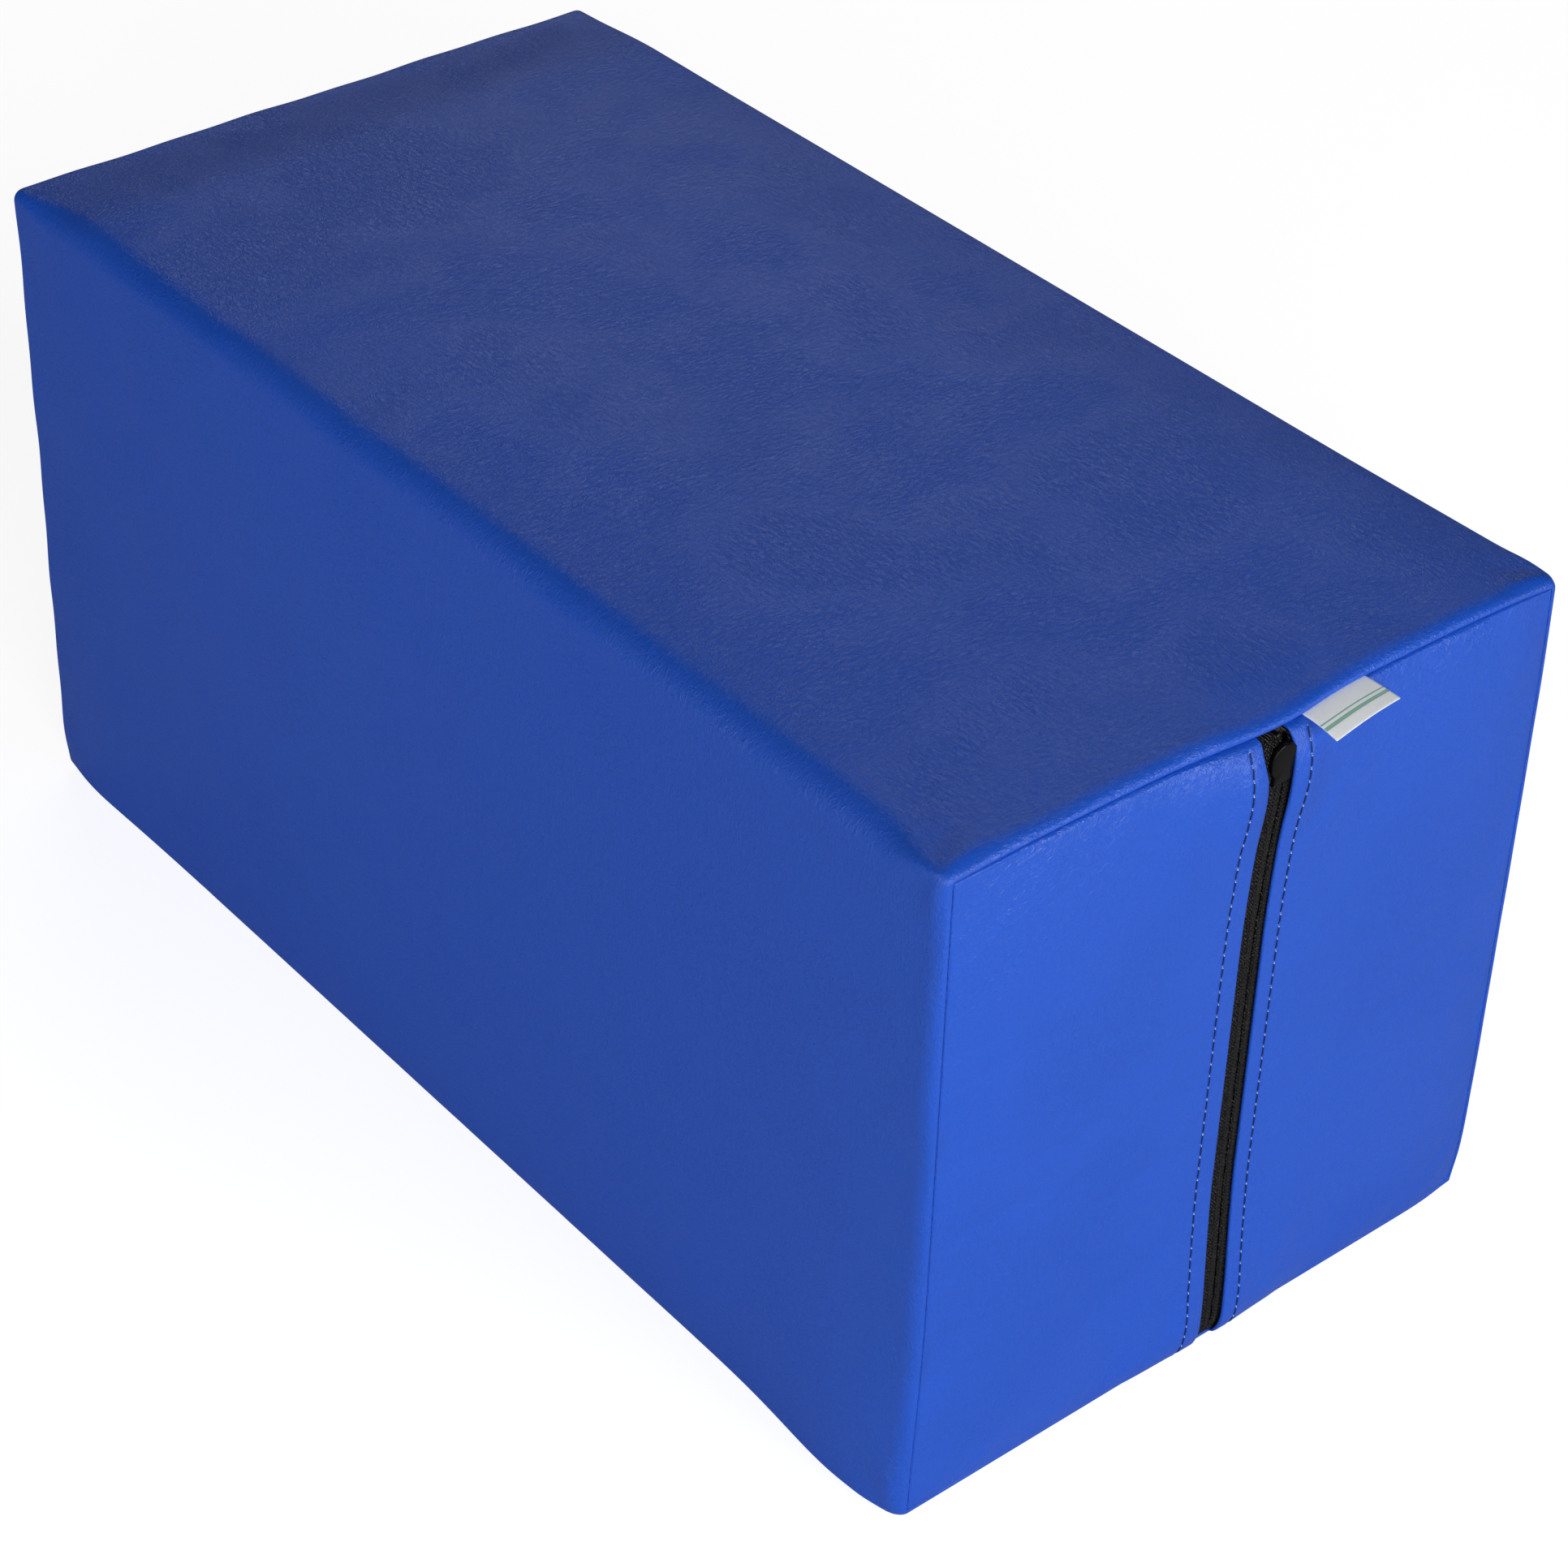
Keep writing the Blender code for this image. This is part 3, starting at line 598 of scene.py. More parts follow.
def sleeveProfile():
    # y and inset of every row: tucked in, a small quarter circle out of the seam, a quarter ellipse
    # over the roll, along the block, and the same again
    lip = cover["lip"]
    small = cover["seamTurn"]
    tuckY = np.linspace(small + cover["allowance"], small, sleeve["tuckRows"], endpoint=False)
    low = np.radians(np.linspace(-90, 0, 5, endpoint=False))
    high = np.radians(np.linspace(0, 90, sleeve["lipRows"]))
    near, far = (np.concatenate([tuckY, small * (1 - np.cos(low)), depth * (1 - np.cos(high))])
                 for depth in cover["rollDepth"])
    rolled = np.concatenate([0 * tuckY + lip, lip - small - small * np.sin(low),
                             (lip - small) * (1 - np.sin(high))])
    t = np.linspace(0, 1, sleeve["longRows"] + 2)[1:-1]
    mixed = 0.75 * (0.5 - 0.5 * np.cos(math.pi * t)) + 0.25 * t
    near = near - halfLength
    far = halfLength - far[::-1]
    y = np.concatenate([near, near[-1] + (far[0] - near[-1]) * mixed, far])
    inset = np.concatenate([rolled, 0 * mixed, rolled[::-1]])
    return y, inset


def sleevePuckers(y, along):
    # short waves beside each end seam: three sines of the distance round the seam, dying away from it
    waves = (np.sin(along / 0.0135 + 1.1) + 0.8 * np.sin(along / 0.0059 + 0.4 * np.sin(along / 0.05))
             + 0.5 * np.sin(along / 0.0242 + 2.7))
    fromEnd = halfLength - np.abs(y)
    return sleeve["pucker"] * waves * bell(fromEnd - 0.005, 0.011)


def cornerFolds(x, y, z):
    # creases that fan out from the zipped end's two top corners: a cosine of the angle, strongest in a ring
    fromEnd = y + halfLength
    folds = 0.0
    for side in (-1, 1):
        around = side * x - halfWidth + halfHeight - z
        ring = bell(np.hypot(around, fromEnd) - 0.013, 0.008)
        folds = folds + ring * np.cos(5.5 * np.arctan2(around, fromEnd) + 0.4 * side)
    return sleeve["cornerFold"] * folds * smoothStep(fromEnd / 0.004)


def makeSleeve():
    y, inset = sleeveProfile()
    radii = [edgeRound(edge, y) for edge in cover["edgeRound"]]
    radii.append(np.full_like(y, cover["seamRound"]))
    x, z, nx, nz = sleeveOutline(inset, radii)
    middle = len(y) // 2
    step = np.hypot(np.diff(x[middle]), np.diff(z[middle]))
    along = np.concatenate([[0.0], np.cumsum(step)])
    total = along[-1]

    # an even grid of the same outline is swollen, and its outward movement is carried over
    rows, columns = sleeve["simRows"], sleeve["simColumns"]
    even = np.linspace(0, total, columns, endpoint=False)
    ex = np.interp(even, along, x[middle])
    ez = np.interp(even, along, z[middle])
    enx = np.interp(even, along, nx[middle])
    enz = np.interp(even, along, nz[middle])
    ey = np.linspace(-halfLength, halfLength, rows)
    start = np.stack(np.broadcast_arrays(ex, ey[:, None], ez), axis=-1)
    pinned = np.zeros((rows, columns), bool)
    pinned[[0, -1]] = True
    pinned[:, enz < -0.9] = True      # the underside rests on the floor
    moved = swell("sleeve_cloth", start.reshape(-1, 3), gridFaces(rows, columns, True), pinned.ravel())
    moved = moved.reshape(rows, columns, 3)
    outward = moved[..., 0] * enx + moved[..., 2] * enz
    outward *= cover["puff"] / max(np.percentile(outward, 99), cover["puff"])
    print("sleeve swelling, mm:", np.round(np.percentile(outward, [1, 25, 50, 75, 99]) * 1000, 2))

    rowAt = (y + halfLength) / (2 * halfLength) * (rows - 1)
    columnAt = along / total * columns
    outward = resample(outward, rowAt[:, None] + 0 * x, columnAt[None, :] + 0 * x, closed=True)
    fromEnd = halfLength - np.abs(y)
    fade = smoothStep((fromEnd - 0.001) / 0.016)[:, None]
    acrossTop = np.clip(np.abs(x) / halfWidth, 0, 1)
    acrossSide = np.clip(np.abs(z) / halfHeight, 0, 1)
    bulge = np.where(np.abs(nz) > 0.7, 1 - acrossTop ** 4, 1 - acrossSide ** 4) * cover["sideCrown"]
    lift = np.clip(outward, -0.0004, cover["puff"]) + bulge * smoothStep(fromEnd / 0.16)[:, None]
    lift = lift * fade + sleevePuckers(y[:, None], along[None, :]) * smoothStep(1 - inset / 0.003)[:, None]
    lift = lift + cornerFolds(x, y[:, None], z)
    lift *= smoothStep((nz + 0.9) / 0.8)
    x = x + nx * lift
    z = z + nz * lift
    points = np.stack([x, np.tile(y[:, None], (1, x.shape[1])), z + halfHeight], axis=-1)
    uv = np.stack([np.tile(along, (len(y), 1)), points[..., 1]], axis=-1)
    piece = newPiece("sleeve_leather", settled(points), gridFaces(*x.shape), leatherLook, uv)
    return thicken(piece, cover["thickness"])


panel = {
    "turn": 0.0008,         # radius where a panel turns into its seam
    "crown": 0.0024,        # how far the foam pushes the panel out
    "crownRoll": 0.0130,
    "zipRise": 0.0056,      # the band that carries the zip stands out this far near its ends
    "zipDip": 0.0017,       # and this much less half way up
    "flapAt": 0.0105,       # each flap stands up most this far from the middle
    "flapReach": 0.0068,
    "flapRise": (0.0022, 0.0010),   # at the top and at the bottom
    "bandFlat": 0.0140,
    "bandFade": 0.040,
    "foldX": (0.0049, 0.0050),      # the folds beside the zip: left and right
    "foldRadius": 0.00075,
    "foldTop": (0.0014, -0.0010),   # how much further out they are at the top seam
    "hem": 0.0130,
    "stitchX": (0.0123, 0.0109),
    "pushedApart": 0.0010,  # by the slider, at this height
    "pushedAt": 0.2400,
    "pucker": 0.00018,
    "fan": 0.00007,         # fine creases beside the slider
    "stitchGroove": 0.00022,
    "rowStep": 0.00085,
    "swell": 0.0016,
    "simStep": 0.004,
}
panelWidth = halfWidth - cover["lip"] - cover["gap"]
panelHeight = halfHeight - cover["lip"] - cover["gap"]
tapeDepth = 2 * panel["foldRadius"] + 0.0002


def zipRise(z):
    # full near the two ends, easing back by the dip half way up
    t = np.abs(z) / halfHeight
    return panel["zipRise"] - panel["zipDip"] * (1 - smoothStep((t - 0.35) / 0.45))


def faceRise(x, z, zipped):
    # the crown falls away as a sixth power towards the sides and as an ellipse at top and bottom
    rolled = 1 - np.clip((panelHeight - np.abs(z)) / panel["crownRoll"], 0, 1)
    roll = np.sqrt(np.clip(1 - rolled ** 2, 0, 1))
    rise = panel["crown"] * (1 - np.clip(np.abs(x) / panelWidth, 0, 1) ** 6)
    if zipped:
        band = 1 - smoothStep((np.abs(x) - panel["bandFlat"]) / panel["bandFade"])
        rise = rise + (zipRise(z) - rise) * band
        top, bottom = panel["flapRise"]
        upright = top * bell(z - 0.103, 0.016) + bottom * bell(z + 0.104, 0.016)
        rise = rise + bell(np.abs(x) - panel["flapAt"], panel["flapReach"]) * upright
    return rise * roll


def facePuckers(x, z):
    # short waves that start at the seams and die away from them
    side = panelWidth - np.abs(x)
    end = panelHeight - np.abs(z)
    across = np.sin(x / 0.0052 + 1.7 * np.sin(z / 0.03)) + 0.7 * np.sin(x / 0.0121 + 0.6)
    up = np.sin(z / 0.0068 + 1.3 * np.sin(x / 0.03)) + 0.6 * np.sin(z / 0.0149 + 2.1)
    waves = across * bell(end - 0.006, 0.009) + up * bell(side - 0.006, 0.009)
    fan = bell(np.abs(x) - 0.021, 0.012) * np.sin((np.abs(x) + end * 0.55) / 0.0016)
    return panel["pucker"] * waves + panel["fan"] * (fan * bell(end - 0.016, 0.010))


def stitchDimples(x, z):
    # a shallow groove under the topstitch, deepest at each needle hole, with a rise beside each hole
    phase = np.cos(2 * math.pi * z / cover["stitchPitch"])
    away = np.abs(x) - np.where(x < 0, *panel["stitchX"])
    groove = bell(away, 0.00075)
    shoulder = bell(away, 0.0022) - groove
    hole = smoothStep((phase - 0.55) / 0.45)
    return groove * (-panel["stitchGroove"] - 0.00016 * hole) + shoulder * 0.00012 * (1 + phase)


def panelSwelling(zipped):
    # a flat cloth over the panel, pinned at its seams and, on the zipped end, along the zip
    xs = np.linspace(-panelWidth, panelWidth, int(2 * panelWidth / panel["simStep"]))
    zs = np.linspace(-panelHeight, panelHeight, int(2 * panelHeight / panel["simStep"]))
    x, z = np.meshgrid(xs, zs)
    start = np.stack([x, -faceRise(x, z, zipped), z], axis=-1)
    pinned = (np.abs(x) > panelWidth - 0.001) | (np.abs(z) > panelHeight - 0.001)
    if zipped:
        pinned |= np.abs(x) < panel["stitchX"][0]
    moved = swell("panel_cloth", start.reshape(-1, 3), gridFaces(len(zs), len(xs)), pinned.ravel())
    outward = -moved[:, 1].reshape(x.shape)
    outward *= panel["swell"] / max(np.percentile(outward, 99), panel["swell"])
    print("panel swelling, mm:", np.round(np.percentile(outward, [1, 25, 50, 75, 99]) * 1000, 2))
    return outward


def swellingAt(outward, x, z):
    columns = (np.clip(x / panelWidth, -1, 1) + 1) / 2 * (outward.shape[1] - 1)
    rows = (np.clip(z / panelHeight, -1, 1) + 1) / 2 * (outward.shape[0] - 1)
    return np.clip(resample(outward, rows, columns), -0.0004, panel["swell"])


def edgeLine(rowsInside):
    # distance inside the seam and depth behind the face: allowance, quarter circle, face
    allowance = np.linspace(cover["allowance"], panel["turn"], 4, endpoint=False)
    a = np.radians(np.linspace(0, 90, 7))
    inside = np.concatenate([0 * allowance, panel["turn"] * (1 - np.cos(a)), rowsInside])
    back = np.concatenate([allowance, panel["turn"] * (1 - np.sin(a)), 0 * rowsInside])
    return inside, back


def uprightLine(step):
    # z and depth of every row of a panel, from the bottom allowance to the top one
    first = panel["turn"] + step
    rows = int((panelHeight - first) / step)
    inside, back = edgeLine(np.linspace(first, panelHeight, rows, endpoint=False))
    z = np.concatenate([inside - panelHeight, [0.0], panelHeight - inside[::-1]])
    return z, np.concatenate([back, [0.0], back[::-1]])


def facePlace(x, z, back, behind, zipped, swelling):
    # the face's y, with the turned-back depth and the layer's depth behind it
    rise = faceRise(x, z, zipped) + swellingAt(swelling, x, z)
    rise = rise + facePuckers(x, z) * (back <= 0)
    if zipped:
        rise = rise + stitchDimples(x, z) * smoothStep((panelHeight - np.abs(z)) / 0.004)
    return -halfLength - rise + back + behind


def opening(side, z):
    # how much further each fold is pushed aside, by the slider and at the top seam
    fromTop = panelHeight - z
    atTop = panel["foldTop"][side > 0] * bell(fromTop, 0.012)
    return atTop + panel["pushedApart"] * bell(z + halfHeight - panel["pushedAt"], 0.0062)


def placed(x, y, z):
    return settled(np.stack([x, y, z + halfHeight], axis=-1))


def notCorner(backX, backZ):
    # the corner cells, where both allowances would turn back, are cut away
    deepX = np.maximum(backX[1:], backX[:-1])[None, :] > panel["turn"] + 1e-6
    return ~(deepX & (np.maximum(backZ[1:], backZ[:-1])[:, None] > panel["turn"] + 1e-6))


def makeZipPanel(side, name, swelling):
    # columns run from the hidden end of the hem, round the fold, over the face and into the outer seam
    z, backZ = uprightLine(panel["rowStep"])
    r = panel["foldRadius"]
    turn = np.radians(np.linspace(180, 0, 9))
    start = panel["foldX"][side > 0]
    hemX = np.linspace(panel["hem"], start + r, 6, endpoint=False)
    foldX = start + r - r * np.sin(turn)
    foldBehind = r - r * np.cos(turn)
    flatX = np.arange(start + r + 0.0004, panel["bandFlat"] + 0.0035, 0.00045)
    wideX = np.linspace(flatX[-1], panelWidth - panel["turn"], 40)[1:-1]
    edgeX, edgeBack = edgeLine(np.array([]))
    reach = np.concatenate([hemX, foldX, flatX, wideX, panelWidth - edgeX[::-1]])
    behind = np.concatenate([0 * hemX + 2 * r, foldBehind, 0 * flatX, 0 * wideX, 0 * edgeX])
    backX = np.concatenate([0 * hemX, 0 * foldX, 0 * flatX, 0 * wideX, edgeBack[::-1]])
    x = side * np.tile(reach, (len(z), 1))
    depth = np.tile(behind, (len(z), 1))
    zz = np.tile(z[:, None], (1, len(reach))) * (1 - depth / halfHeight)
    x = x + side * opening(side, zz) * (1 - smoothStep((np.abs(x) - 0.007) / 0.012))
    back = np.maximum(backX[None, :], backZ[:, None])
    y = facePlace(x, zz, back, depth, True, swelling)
    faces = gridFaces(*x.shape, keep=notCorner(backX, backZ))
    cloth = np.stack([x, zz], axis=-1)
    piece = newPiece(name, placed(x, y, zz), faces if side > 0 else flipped(faces), leatherLook, cloth)
    return thicken(piece, cover["thickness"])


def makeFarPanel(swelling):
    z, backZ = uprightLine(0.0030)
    edge, edgeBack = edgeLine(np.array([]))
    wide = np.linspace(-(panelWidth - panel["turn"]), panelWidth - panel["turn"], 84)[1:-1]
    acrossX = np.concatenate([edge - panelWidth, wide, panelWidth - edge[::-1]])
    backX = np.concatenate([edgeBack, 0 * wide, edgeBack[::-1]])
    x = np.tile(acrossX, (len(z), 1))
    zz = np.tile(z[:, None], (1, len(acrossX)))
    back = np.maximum(backX[None, :], backZ[:, None])
    y = facePlace(x, zz, back, 0 * x, False, swelling)
    faces = gridFaces(*x.shape, keep=notCorner(backX, backZ))
    piece = newPiece("far_end_leather", placed(-x, -y, zz), faces, leatherLook, np.stack([x, zz], axis=-1))
    return thicken(piece, cover["thickness"])


stitch = {
    "length": 0.0043,
    "radius": 0.00026,
    "sides": 6,
    "steps": 9,
    "tilt": 0.00016,
    "lift": 0.00010,
    "seamLift": 0.0002,
    "dive": 0.00014,        # how far a stitch sinks at its ends
}


def resampled(line, at, distance):
    return np.stack([np.interp(at, distance, line[:, k]) for k in range(3)], axis=-1)


def makeStitches(name, line, outward, lift=stitch["lift"]):
    # each stitch is a short tube along its row: flat on top, diving at both ends, tilted a little
    pitch = cover["stitchPitch"]
    distance = np.concatenate([[0.0], np.cumsum(np.linalg.norm(np.diff(line, axis=0), axis=1))])
    centres = np.arange(pitch / 2, distance[-1] - pitch / 2, pitch)
    t = np.linspace(-1, 1, stitch["steps"])[None, :]
    at = centres[:, None] + t * stitch["length"] / 2
    path = resampled(line, at, distance)
    up = resampled(outward, at, distance)
    up /= np.linalg.norm(up, axis=-1, keepdims=True)
    tangent = np.gradient(path, axis=1)
    tangent /= np.linalg.norm(tangent, axis=-1, keepdims=True)
    across = np.cross(tangent, up)
    rise = lift - stitch["dive"] * np.abs(t) ** 5
    path = path + up * rise[..., None] + across * (stitch["tilt"] * t)[..., None]
    a = np.linspace(0, 2 * math.pi, stitch["sides"], endpoint=False)
    size = stitch["radius"] * (1 - 0.35 * np.abs(t) ** 6)
    ring = (across[:, :, None, :] * np.cos(a)[None, None, :, None]
            + up[:, :, None, :] * np.sin(a)[None, None, :, None]) * size[..., None, None]
    points = (path[:, :, None, :] + ring).reshape(-1, 3)
    uv = np.stack([np.broadcast_to(at[:, :, None], ring.shape[:3]),
                   np.broadcast_to((a / (2 * math.pi))[None, None, :], ring.shape[:3])], axis=-1)
    each = stitch["steps"] * stitch["sides"]
    starts = np.arange(len(centres)) * each
    one = gridFaces(stitch["steps"], stitch["sides"], True)
    faces = (flipped(one)[None] + starts[:, None, None]).reshape(-1, 4).tolist()
    around = np.arange(stitch["sides"])
    faces += (starts[:, None] + around[None, :]).tolist()
    faces += (starts[:, None] + (each - stitch["sides"] + around)[None, ::-1]).tolist()
    return newPiece(name, points, faces, threadLook, uv)


def topstitchRow(side, swelling):
    z = np.linspace(panelHeight - 0.0013, -panelHeight + 0.0015, 500)
    x = np.full_like(z, side * panel["stitchX"][side > 0])
    y = facePlace(x, z, 0 * z, 0 * z, True, swelling)
    slope = np.gradient(y, z)
    outward = np.stack([0 * z, -np.ones_like(z), slope], axis=-1)
    return placed(x, y - 0.00006, z), outward


def seamRow(end):
    # once round an end seam, in the ditch between the lip and the panel
    w = halfWidth - cover["lip"] - cover["gap"] / 2
    h = halfHeight - cover["lip"] - cover["gap"] / 2
    corners = np.array([(-w, -h), (w, -h), (w, h), (-w, h), (-w, -h)])
    x = np.concatenate([np.linspace(a[0], b[0], 80, endpoint=False) for a, b in zip(corners, corners[1:])])
    z = np.concatenate([np.linspace(a[1], b[1], 80, endpoint=False) for a, b in zip(corners, corners[1:])])
    y = np.full_like(x, end * (halfLength - 0.0008))
    return placed(x, y, z), np.tile([0.0, end, 0.0], (len(x), 1))


def closingRow():
    y = np.linspace(-halfLength + 0.012, halfLength - 0.012, 60)
    x = np.full_like(y, halfWidth - 0.0013)
    z = np.full_like(y, 0.0013)
    return settled(np.stack([x, y, z], axis=-1)), np.tile([1.0, 0.0, -1.0], (len(y), 1))


zipper = {
    "middle": (0.0018, 0.0032),   # how far to +X of the panel's middle it lies: low down, at the top
    "slit": 0.00036,
    "tapeReach": 0.0140,
    "tapeThickness": 0.0006,
    "pitch": 0.0014,
    "linkX": 0.00195,
    "linkSize": (0.00072, 0.00058),
    "linkThread": 0.00020,
    "linkSides": (10, 5),
    "spreadWide": 0.0009,
}
sliderLow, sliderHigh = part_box("slider_body")


def spread(z):
    # how far the tapes have been parted by the slider, at a height
    start = sliderLow.z + 0.0015
    return zipper["spreadWide"] * smoothStep((z - start) / 0.007)


def zipMiddle(z):
    # the low value up to about half way, then a smooth step to the top one
    low, high = zipper["middle"]
    return low + (high - low) * smoothStep((z / height - 0.55) / 0.45)


def makeTape(side, name):
    z, back = uprightLine(0.0016)
    reach = np.concatenate([np.linspace(zipper["slit"], 0.006, 12), [0.009, zipper["tapeReach"]]])
    x = side * np.tile(reach, (len(z), 1))
    zz = np.tile(z[:, None], (1, len(reach))) * (1 - tapeDepth / halfHeight)
    parted = spread(zz + halfHeight) * (1 - smoothStep((np.abs(x) - 0.002) / 0.006))
    y = -halfLength - faceRise(0 * x, zz, True) + tapeDepth + np.tile(back[:, None], (1, len(reach)))
    y = y + 0.00005 * np.sin(zz / 0.0009) * bell(np.abs(x) - 0.0045, 0.002)
    x = x + side * parted + zipMiddle(zz + halfHeight)
    faces = gridFaces(*x.shape)
    piece = newPiece(name, placed(x, y, zz), faces if side > 0 else flipped(faces), tapeLook,
                     np.stack([x, zz], axis=-1))
    return thicken(piece, zipper["tapeThickness"])


def makeChain(side, name):
    # a row of small flat rings, each a circle of circles, one to a coil turn
    z = np.arange(-panelHeight + 0.006, panelHeight - 0.003, zipper["pitch"])
    zz = z * (1 - tapeDepth / halfHeight)
    x = side * (zipper["linkX"] + spread(zz + halfHeight)) + zipMiddle(zz + halfHeight)
    y = -halfLength - faceRise(0 * x, zz, True) + tapeDepth - 0.0001
    around, sides = zipper["linkSides"]
    a = np.linspace(0, 2 * math.pi, around, endpoint=False)[None, :, None]
    b = np.linspace(0, 2 * math.pi, sides, endpoint=False)[None, None, :]
    sizeX, sizeZ = zipper["linkSize"]
    tube = zipper["linkThread"]
    px = x[:, None, None] + np.cos(a) * (sizeX + tube * np.cos(b))
    pz = zz[:, None, None] + np.sin(a) * (sizeZ + tube * np.cos(b))
    py = y[:, None, None] - tube * np.sin(b) - 0.00012 * np.cos(a - 1.2) + 0 * px
    one = gridFaces(around + 1, sides, True) % (around * sides)
    faces = (one[None] + np.arange(len(z))[:, None, None] * around * sides).reshape(-1, 4)
    uv = np.stack([np.broadcast_to(a, px.shape), np.broadcast_to(b, px.shape)], axis=-1) / (2 * math.pi)
    return newPiece(name, placed(px, py, pz), flipped(faces), chainLook, uv)


# the slider: two plates with round noses and S-curved shoulders, joined by a post
slider = {
    "foot": 0.0039,         # half widths
    "wide": 0.0054,
    "length": 0.0140,
    "shoulder": (0.0030, 0.0062),
    "noseStart": 0.0080,
    "plate": 0.0016,
    "rise": 0.0015,         # it stands this much higher and further out than the plain one
    "out": 0.0018,
    "aside": 0.0015,
    "dome": 0.00028,
    "post": (0.0007, 0.0085, 0.0125),
}


def sliderOutline():
    # half outline from the foot's middle: foot, S-curve between the half widths, quarter ellipse
    low, high = slider["shoulder"]
    foot, wide = slider["foot"], slider["wide"]
    t = np.linspace(0, 1, 12)
    footX = np.linspace(0, foot, 8, endpoint=False)
    a = np.radians(np.linspace(0, 90, 22))[1:]
    x = np.concatenate([footX, foot + 0 * t[:6], foot + (wide - foot) * smoothStep(t), wide * np.cos(a)])
    up = np.concatenate([0 * footX, np.linspace(0, low, 6, endpoint=False), low + (high - low) * t,
                         slider["noseStart"] + (slider["length"] - slider["noseStart"]) * np.sin(a)])
    return np.concatenate([x, -x[-2:0:-1]]), np.concatenate([up, up[-2:0:-1]])


def sliderPlate(back, front, dome):
    # the outline drawn in by rings: flat back, rounded edge, and a slightly domed front
    x, up = sliderOutline()
    middle = slider["length"] / 2
    depth = front - back
    rings = [(0.90, back), (0.985, back + 0.08 * depth), (1.0, back + 0.25 * depth),
             (1.0, front - 0.25 * depth), (0.985, front - 0.08 * depth), (0.93, front),
             (0.86, front + 0.25 * dome), (0.5, front + 0.8 * dome), (0.2, front + dome)]
    share, y = np.array(rings).T[:, :, None]
    points = np.stack([share * x, 0 * share * x - y, middle + share * (up - middle)], axis=-1)
    faces = flipped(gridFaces(len(rings), len(x), True)).tolist()
    around = np.arange(len(x))
    last = len(x) * (len(rings) - 1)
    return points.reshape(-1, 3), faces + [around.tolist(), (last + around)[::-1].tolist()]


def makeSlider():
    outer = -sliderLow.y + slider["out"]
    inner = -sliderHigh.y + 0.0018
    front, cells = sliderPlate(outer - slider["plate"], outer, slider["dome"])
    back = sliderPlate(inner, inner + 0.0013, 0.0)[0]
    half, low, high = slider["post"]
    post = [(x, -y, z) for y in (inner + 0.0005, outer - 0.0005)
            for x, z in ((-half, low), (half, low), (half, high), (-half, high))]
    sides = ((0, 3, 2, 1), (4, 5, 6, 7), (0, 1, 5, 4), (1, 2, 6, 5), (2, 3, 7, 6), (3, 0, 4, 7))
    faces = cells + [[len(front) + corner for corner in cell] for cell in cells]
    faces += [[2 * len(front) + corner for corner in cell] for cell in sides]
    points = np.concatenate([front, back, post]) + [slider["aside"], 0, sliderLow.z + slider["rise"]]
    return newPiece("zip_slider", points, faces, enamelLook)


# the label, a ribbon folded on itself
label = {
    "left": 0.0120,
    "width": 0.0276,
    "run": 0.0145,          # arc length from the seam to the fold
    "gap": 0.0004,
    "thickness": 0.00022,
    "rise": 2.0,            # degrees above level at the seam
    "bend": 16.0,           # degrees that it bends down on the way, at its left side
    "bendRight": 4.0,
}


def makeLabel():
    # the arc turns steadily downwards from the seam; the back layer lies behind the front one
    columns = 36
    steps = 22
    across = np.linspace(0, 1, columns)[:, None]
    t = np.linspace(0, 1, steps)[None, :]
    bend = np.radians(label["bend"] + (label["bendRight"] - label["bend"]) * across)
    angle = np.radians(label["rise"]) - bend * t ** 1.1
    step = label["run"] / (steps - 1)
    out = np.cumsum(np.cos(angle), axis=1) * step - np.cos(angle[:, :1]) * step
    down = np.cumsum(np.sin(angle), axis=1) * step - np.sin(angle[:, :1]) * step
    half = label["gap"] / 2
    frontOut, frontDown = out - np.sin(angle) * half, down + np.cos(angle) * half
    backOut, backDown = out + np.sin(angle) * half, down - np.cos(angle) * half
    turn = np.radians(np.linspace(90, -90, 7))[None, 1:-1]
    tipAngle = angle[:, -1:]
    tipOut = out[:, -1:] + half * np.cos(tipAngle + turn)
    tipDown = down[:, -1:] + half * np.sin(tipAngle + turn)
    allOut = np.concatenate([frontOut, tipOut, backOut[:, ::-1]], axis=1)
    allDown = np.concatenate([frontDown, tipDown, backDown[:, ::-1]], axis=1)
    x = label["left"] + label["width"] * across
    run = np.concatenate([[0.0], np.cumsum(np.hypot(np.diff(allOut[0]), np.diff(allDown[0])))])
    uv = np.stack([x + 0 * allOut, np.tile(run, (columns, 1))], axis=-1)
    root = placed(x, 0 * x - halfLength + 0.0006, 0 * x + halfHeight - cover["lip"] - cover["gap"] / 2)
    points = root + np.stack([0 * allOut, -allOut, allDown], axis=-1)
    piece = newPiece("label_ribbon_fold", points, gridFaces(columns, allOut.shape[1]), ribbonLook, uv)
    return thicken(piece, label["thickness"])


def standsFor(piece, node, body="block"):
    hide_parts(node)
    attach(piece, body)
    return piece


foamBlock = standsFor(makeFoam(), "foam_core")
sleevePiece = standsFor(makeSleeve(), "cover_sleeve")
print("sleeve made")

zipSwelling = panelSwelling(True)
farSwelling = panelSwelling(False)
leftPanel = makeZipPanel(-1, "zip_end_leather_left", zipSwelling)
rightPanel = makeZipPanel(1, "zip_end_leather_right", zipSwelling)
farPanel = makeFarPanel(farSwelling)
for piece, node in ((leftPanel, "zip_end_panel_left"), (rightPanel, "zip_end_panel_right"),
                    (farPanel, "far_end_panel")):
    standsFor(piece, node)
print("end panels made")

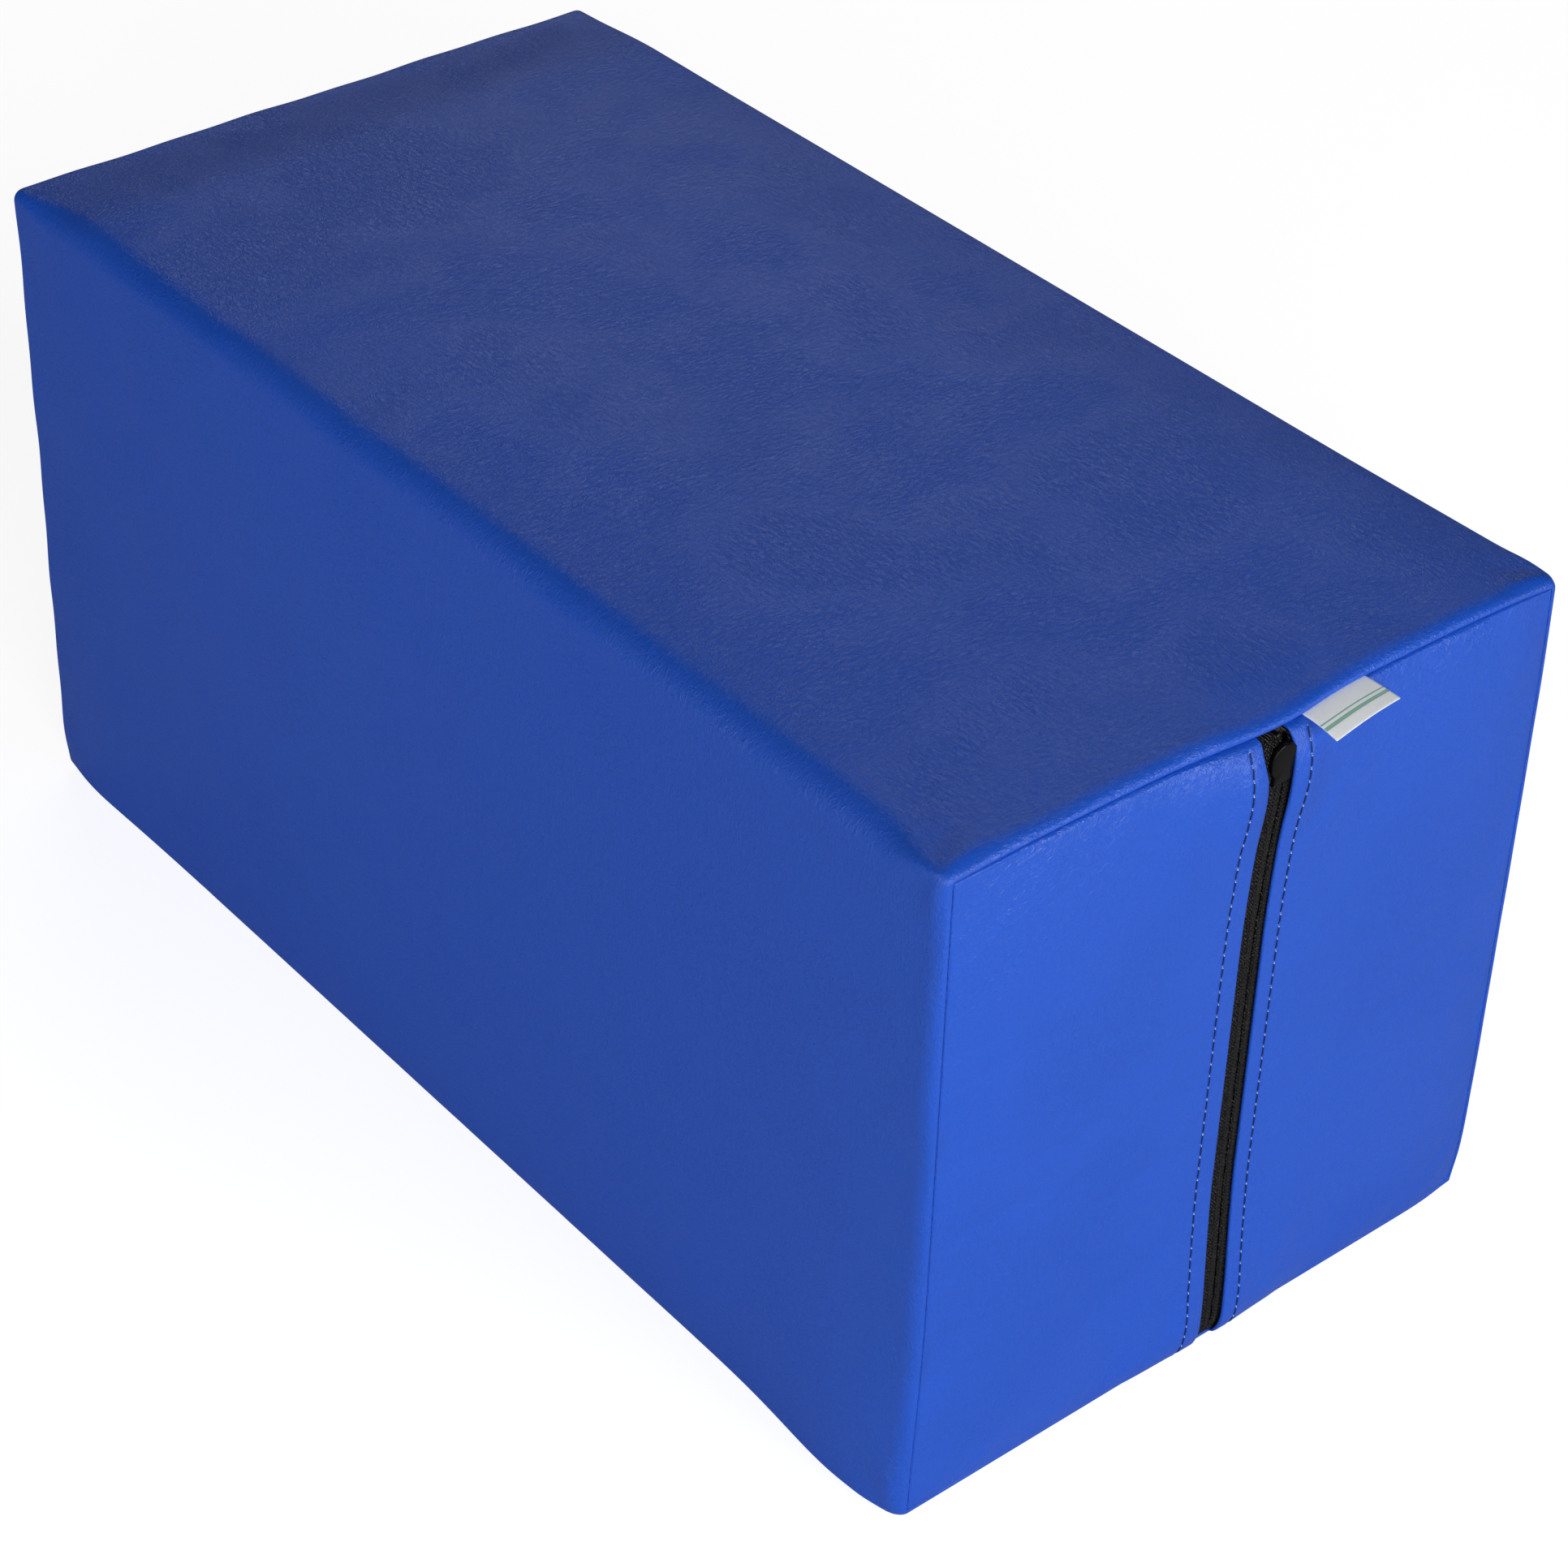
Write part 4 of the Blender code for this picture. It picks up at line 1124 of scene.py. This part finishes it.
for side, hand in ((-1, "left"), (1, "right")):
    standsFor(makeTape(side, f"tape_{hand}"), f"zip_tape_{hand}")
    standsFor(makeChain(side, f"chain_stitch_{hand}"), f"coil_stitch_{hand}")
    row = makeStitches(f"topstitch_row_{hand}", *topstitchRow(side, zipSwelling))
    standsFor(row, f"topstitch_{hand}")
print("zip made")

sliderPiece = standsFor(makeSlider(), "slider_body", "slider")
for name, node, row in (("zip_end_seam_stitches", "seam_thread_zip_end", seamRow(-1)),
                        ("far_end_seam_stitches", "seam_thread_far_end", seamRow(1)),
                        ("closing_seam_stitches", "sleeve_seam_thread", closingRow())):
    standsFor(makeStitches(name, *row, lift=stitch["seamLift"]), node)
ribbonPiece = standsFor(makeLabel(), "woven_label")
print("label and seams made")

for node in ("zip_coil_left", "zip_coil_right", "coil_cord_left", "coil_cord_right"):
    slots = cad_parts[node].data.materials
    slots.clear()
    slots.append(nylonLook)

studio = {
    "floor": (0.60, 0.60, 0.60),
    "floorGlow": 0.80,
    "air": 0.02,
    "lamps": (              # name, place, aim, width and height, power
        ("keyLight", (0.5, -2.4, 0.9), (0, -0.25, 0.12), (1.2, 1.2), 31.0),
        ("frontLight", (-1.2, -2.2, 1.0), (0, -0.2, 0.12), (1.2, 1.2), 24.0),
        ("sideLight", (-2.4, -0.4, 0.5), (-0.1, 0, 0.12), (1.2, 1.0), 13.0),
        ("highLight", (-2.0, 0.4, 1.7), (-0.1, 0, 0.12), (1.2, 1.0), 3.8),
        ("backLight", (1.6, 1.9, 1.9), (0, 0, 0.2), (2.2, 1.8), 12.4),
    ),
}


def makeFloor():
    mesh = bpy.data.meshes.new("floor")
    mesh.from_pydata([(-6, -6, 0), (6, -6, 0), (6, 6, 0), (-6, 6, 0)], [], [(0, 1, 2, 3)])
    floor = bpy.data.objects.new("floor", mesh)
    bpy.context.scene.collection.objects.link(floor)
    look, tree, shader, place = newMaterial("paleFloor", 0.9)
    shader.inputs["Base Color"].default_value = (*studio["floor"], 1.0)
    path = addNode(tree, "ShaderNodeLightPath")
    glow = math2(tree, "MULTIPLY", path.outputs["Is Camera Ray"], studio["floorGlow"])
    shader.inputs["Emission Color"].default_value = (1, 1, 1, 1)
    tree.links.new(glow, shader.inputs["Emission Strength"])
    mesh.materials.append(look)
    return floor


def makeAir():
    world = bpy.data.worlds.new("studioAir")
    bpy.context.scene.world = world
    world.use_nodes = True
    tree = world.node_tree
    backdrop = tree.nodes["Background"]
    backdrop.inputs["Color"].default_value = (1, 1, 1, 1)
    path = addNode(tree, "ShaderNodeLightPath")
    strength = addNode(tree, "ShaderNodeMapRange", {
        "Value": path.outputs["Is Camera Ray"], "To Min": studio["air"], "To Max": 1.0})
    tree.links.new(strength.outputs[0], backdrop.inputs["Strength"])


def makeLight(name, place, aim, size, power):
    lamp = bpy.data.lights.new(name, "AREA")
    lamp.shape = "RECTANGLE"
    lamp.size, lamp.size_y = size
    lamp.energy = power
    item = bpy.data.objects.new(name, lamp)
    item.location = place
    item.rotation_mode = "QUATERNION"
    item.rotation_quaternion = (Vector(aim) - Vector(place)).to_track_quat("-Z", "Y")
    bpy.context.scene.collection.objects.link(item)
    return item


view = {
    "azimuth": -40.237,     # degrees
    "elevation": 36.568,
    "roll": 1.735,
    "lens": 88.81,          # millimetres
    "place": (-0.69548, -0.85523, 0.89965),
}


def makeCamera():
    # a long lens, off the zipped end's left corner and above it, turned very slightly on its axis
    azimuth, elevation, roll = (math.radians(view[turn]) for turn in ("azimuth", "elevation", "roll"))
    back = Vector((math.sin(azimuth) * math.cos(elevation), -math.cos(azimuth) * math.cos(elevation),
                   math.sin(elevation)))
    right = Vector((math.cos(azimuth), math.sin(azimuth), 0.0))
    up = back.cross(right)
    across = right * math.cos(roll) + up * math.sin(roll)
    upright = up * math.cos(roll) - right * math.sin(roll)
    lens = bpy.data.cameras.new("camera")
    lens.sensor_width = 36.0
    lens.lens = view["lens"]
    lens.clip_start = 0.05
    lens.clip_end = 50.0
    camera = bpy.data.objects.new("camera", lens)
    pose = Matrix((across, upright, back)).transposed().to_4x4()
    pose.translation = Vector(view["place"])
    camera.matrix_world = pose
    bpy.context.scene.collection.objects.link(camera)
    bpy.context.scene.camera = camera


makeFloor()
makeAir()
for lamp in studio["lamps"]:
    makeLight(*lamp)
makeCamera()
bpy.context.scene.view_settings.view_transform = "Standard"
print("stage ready")
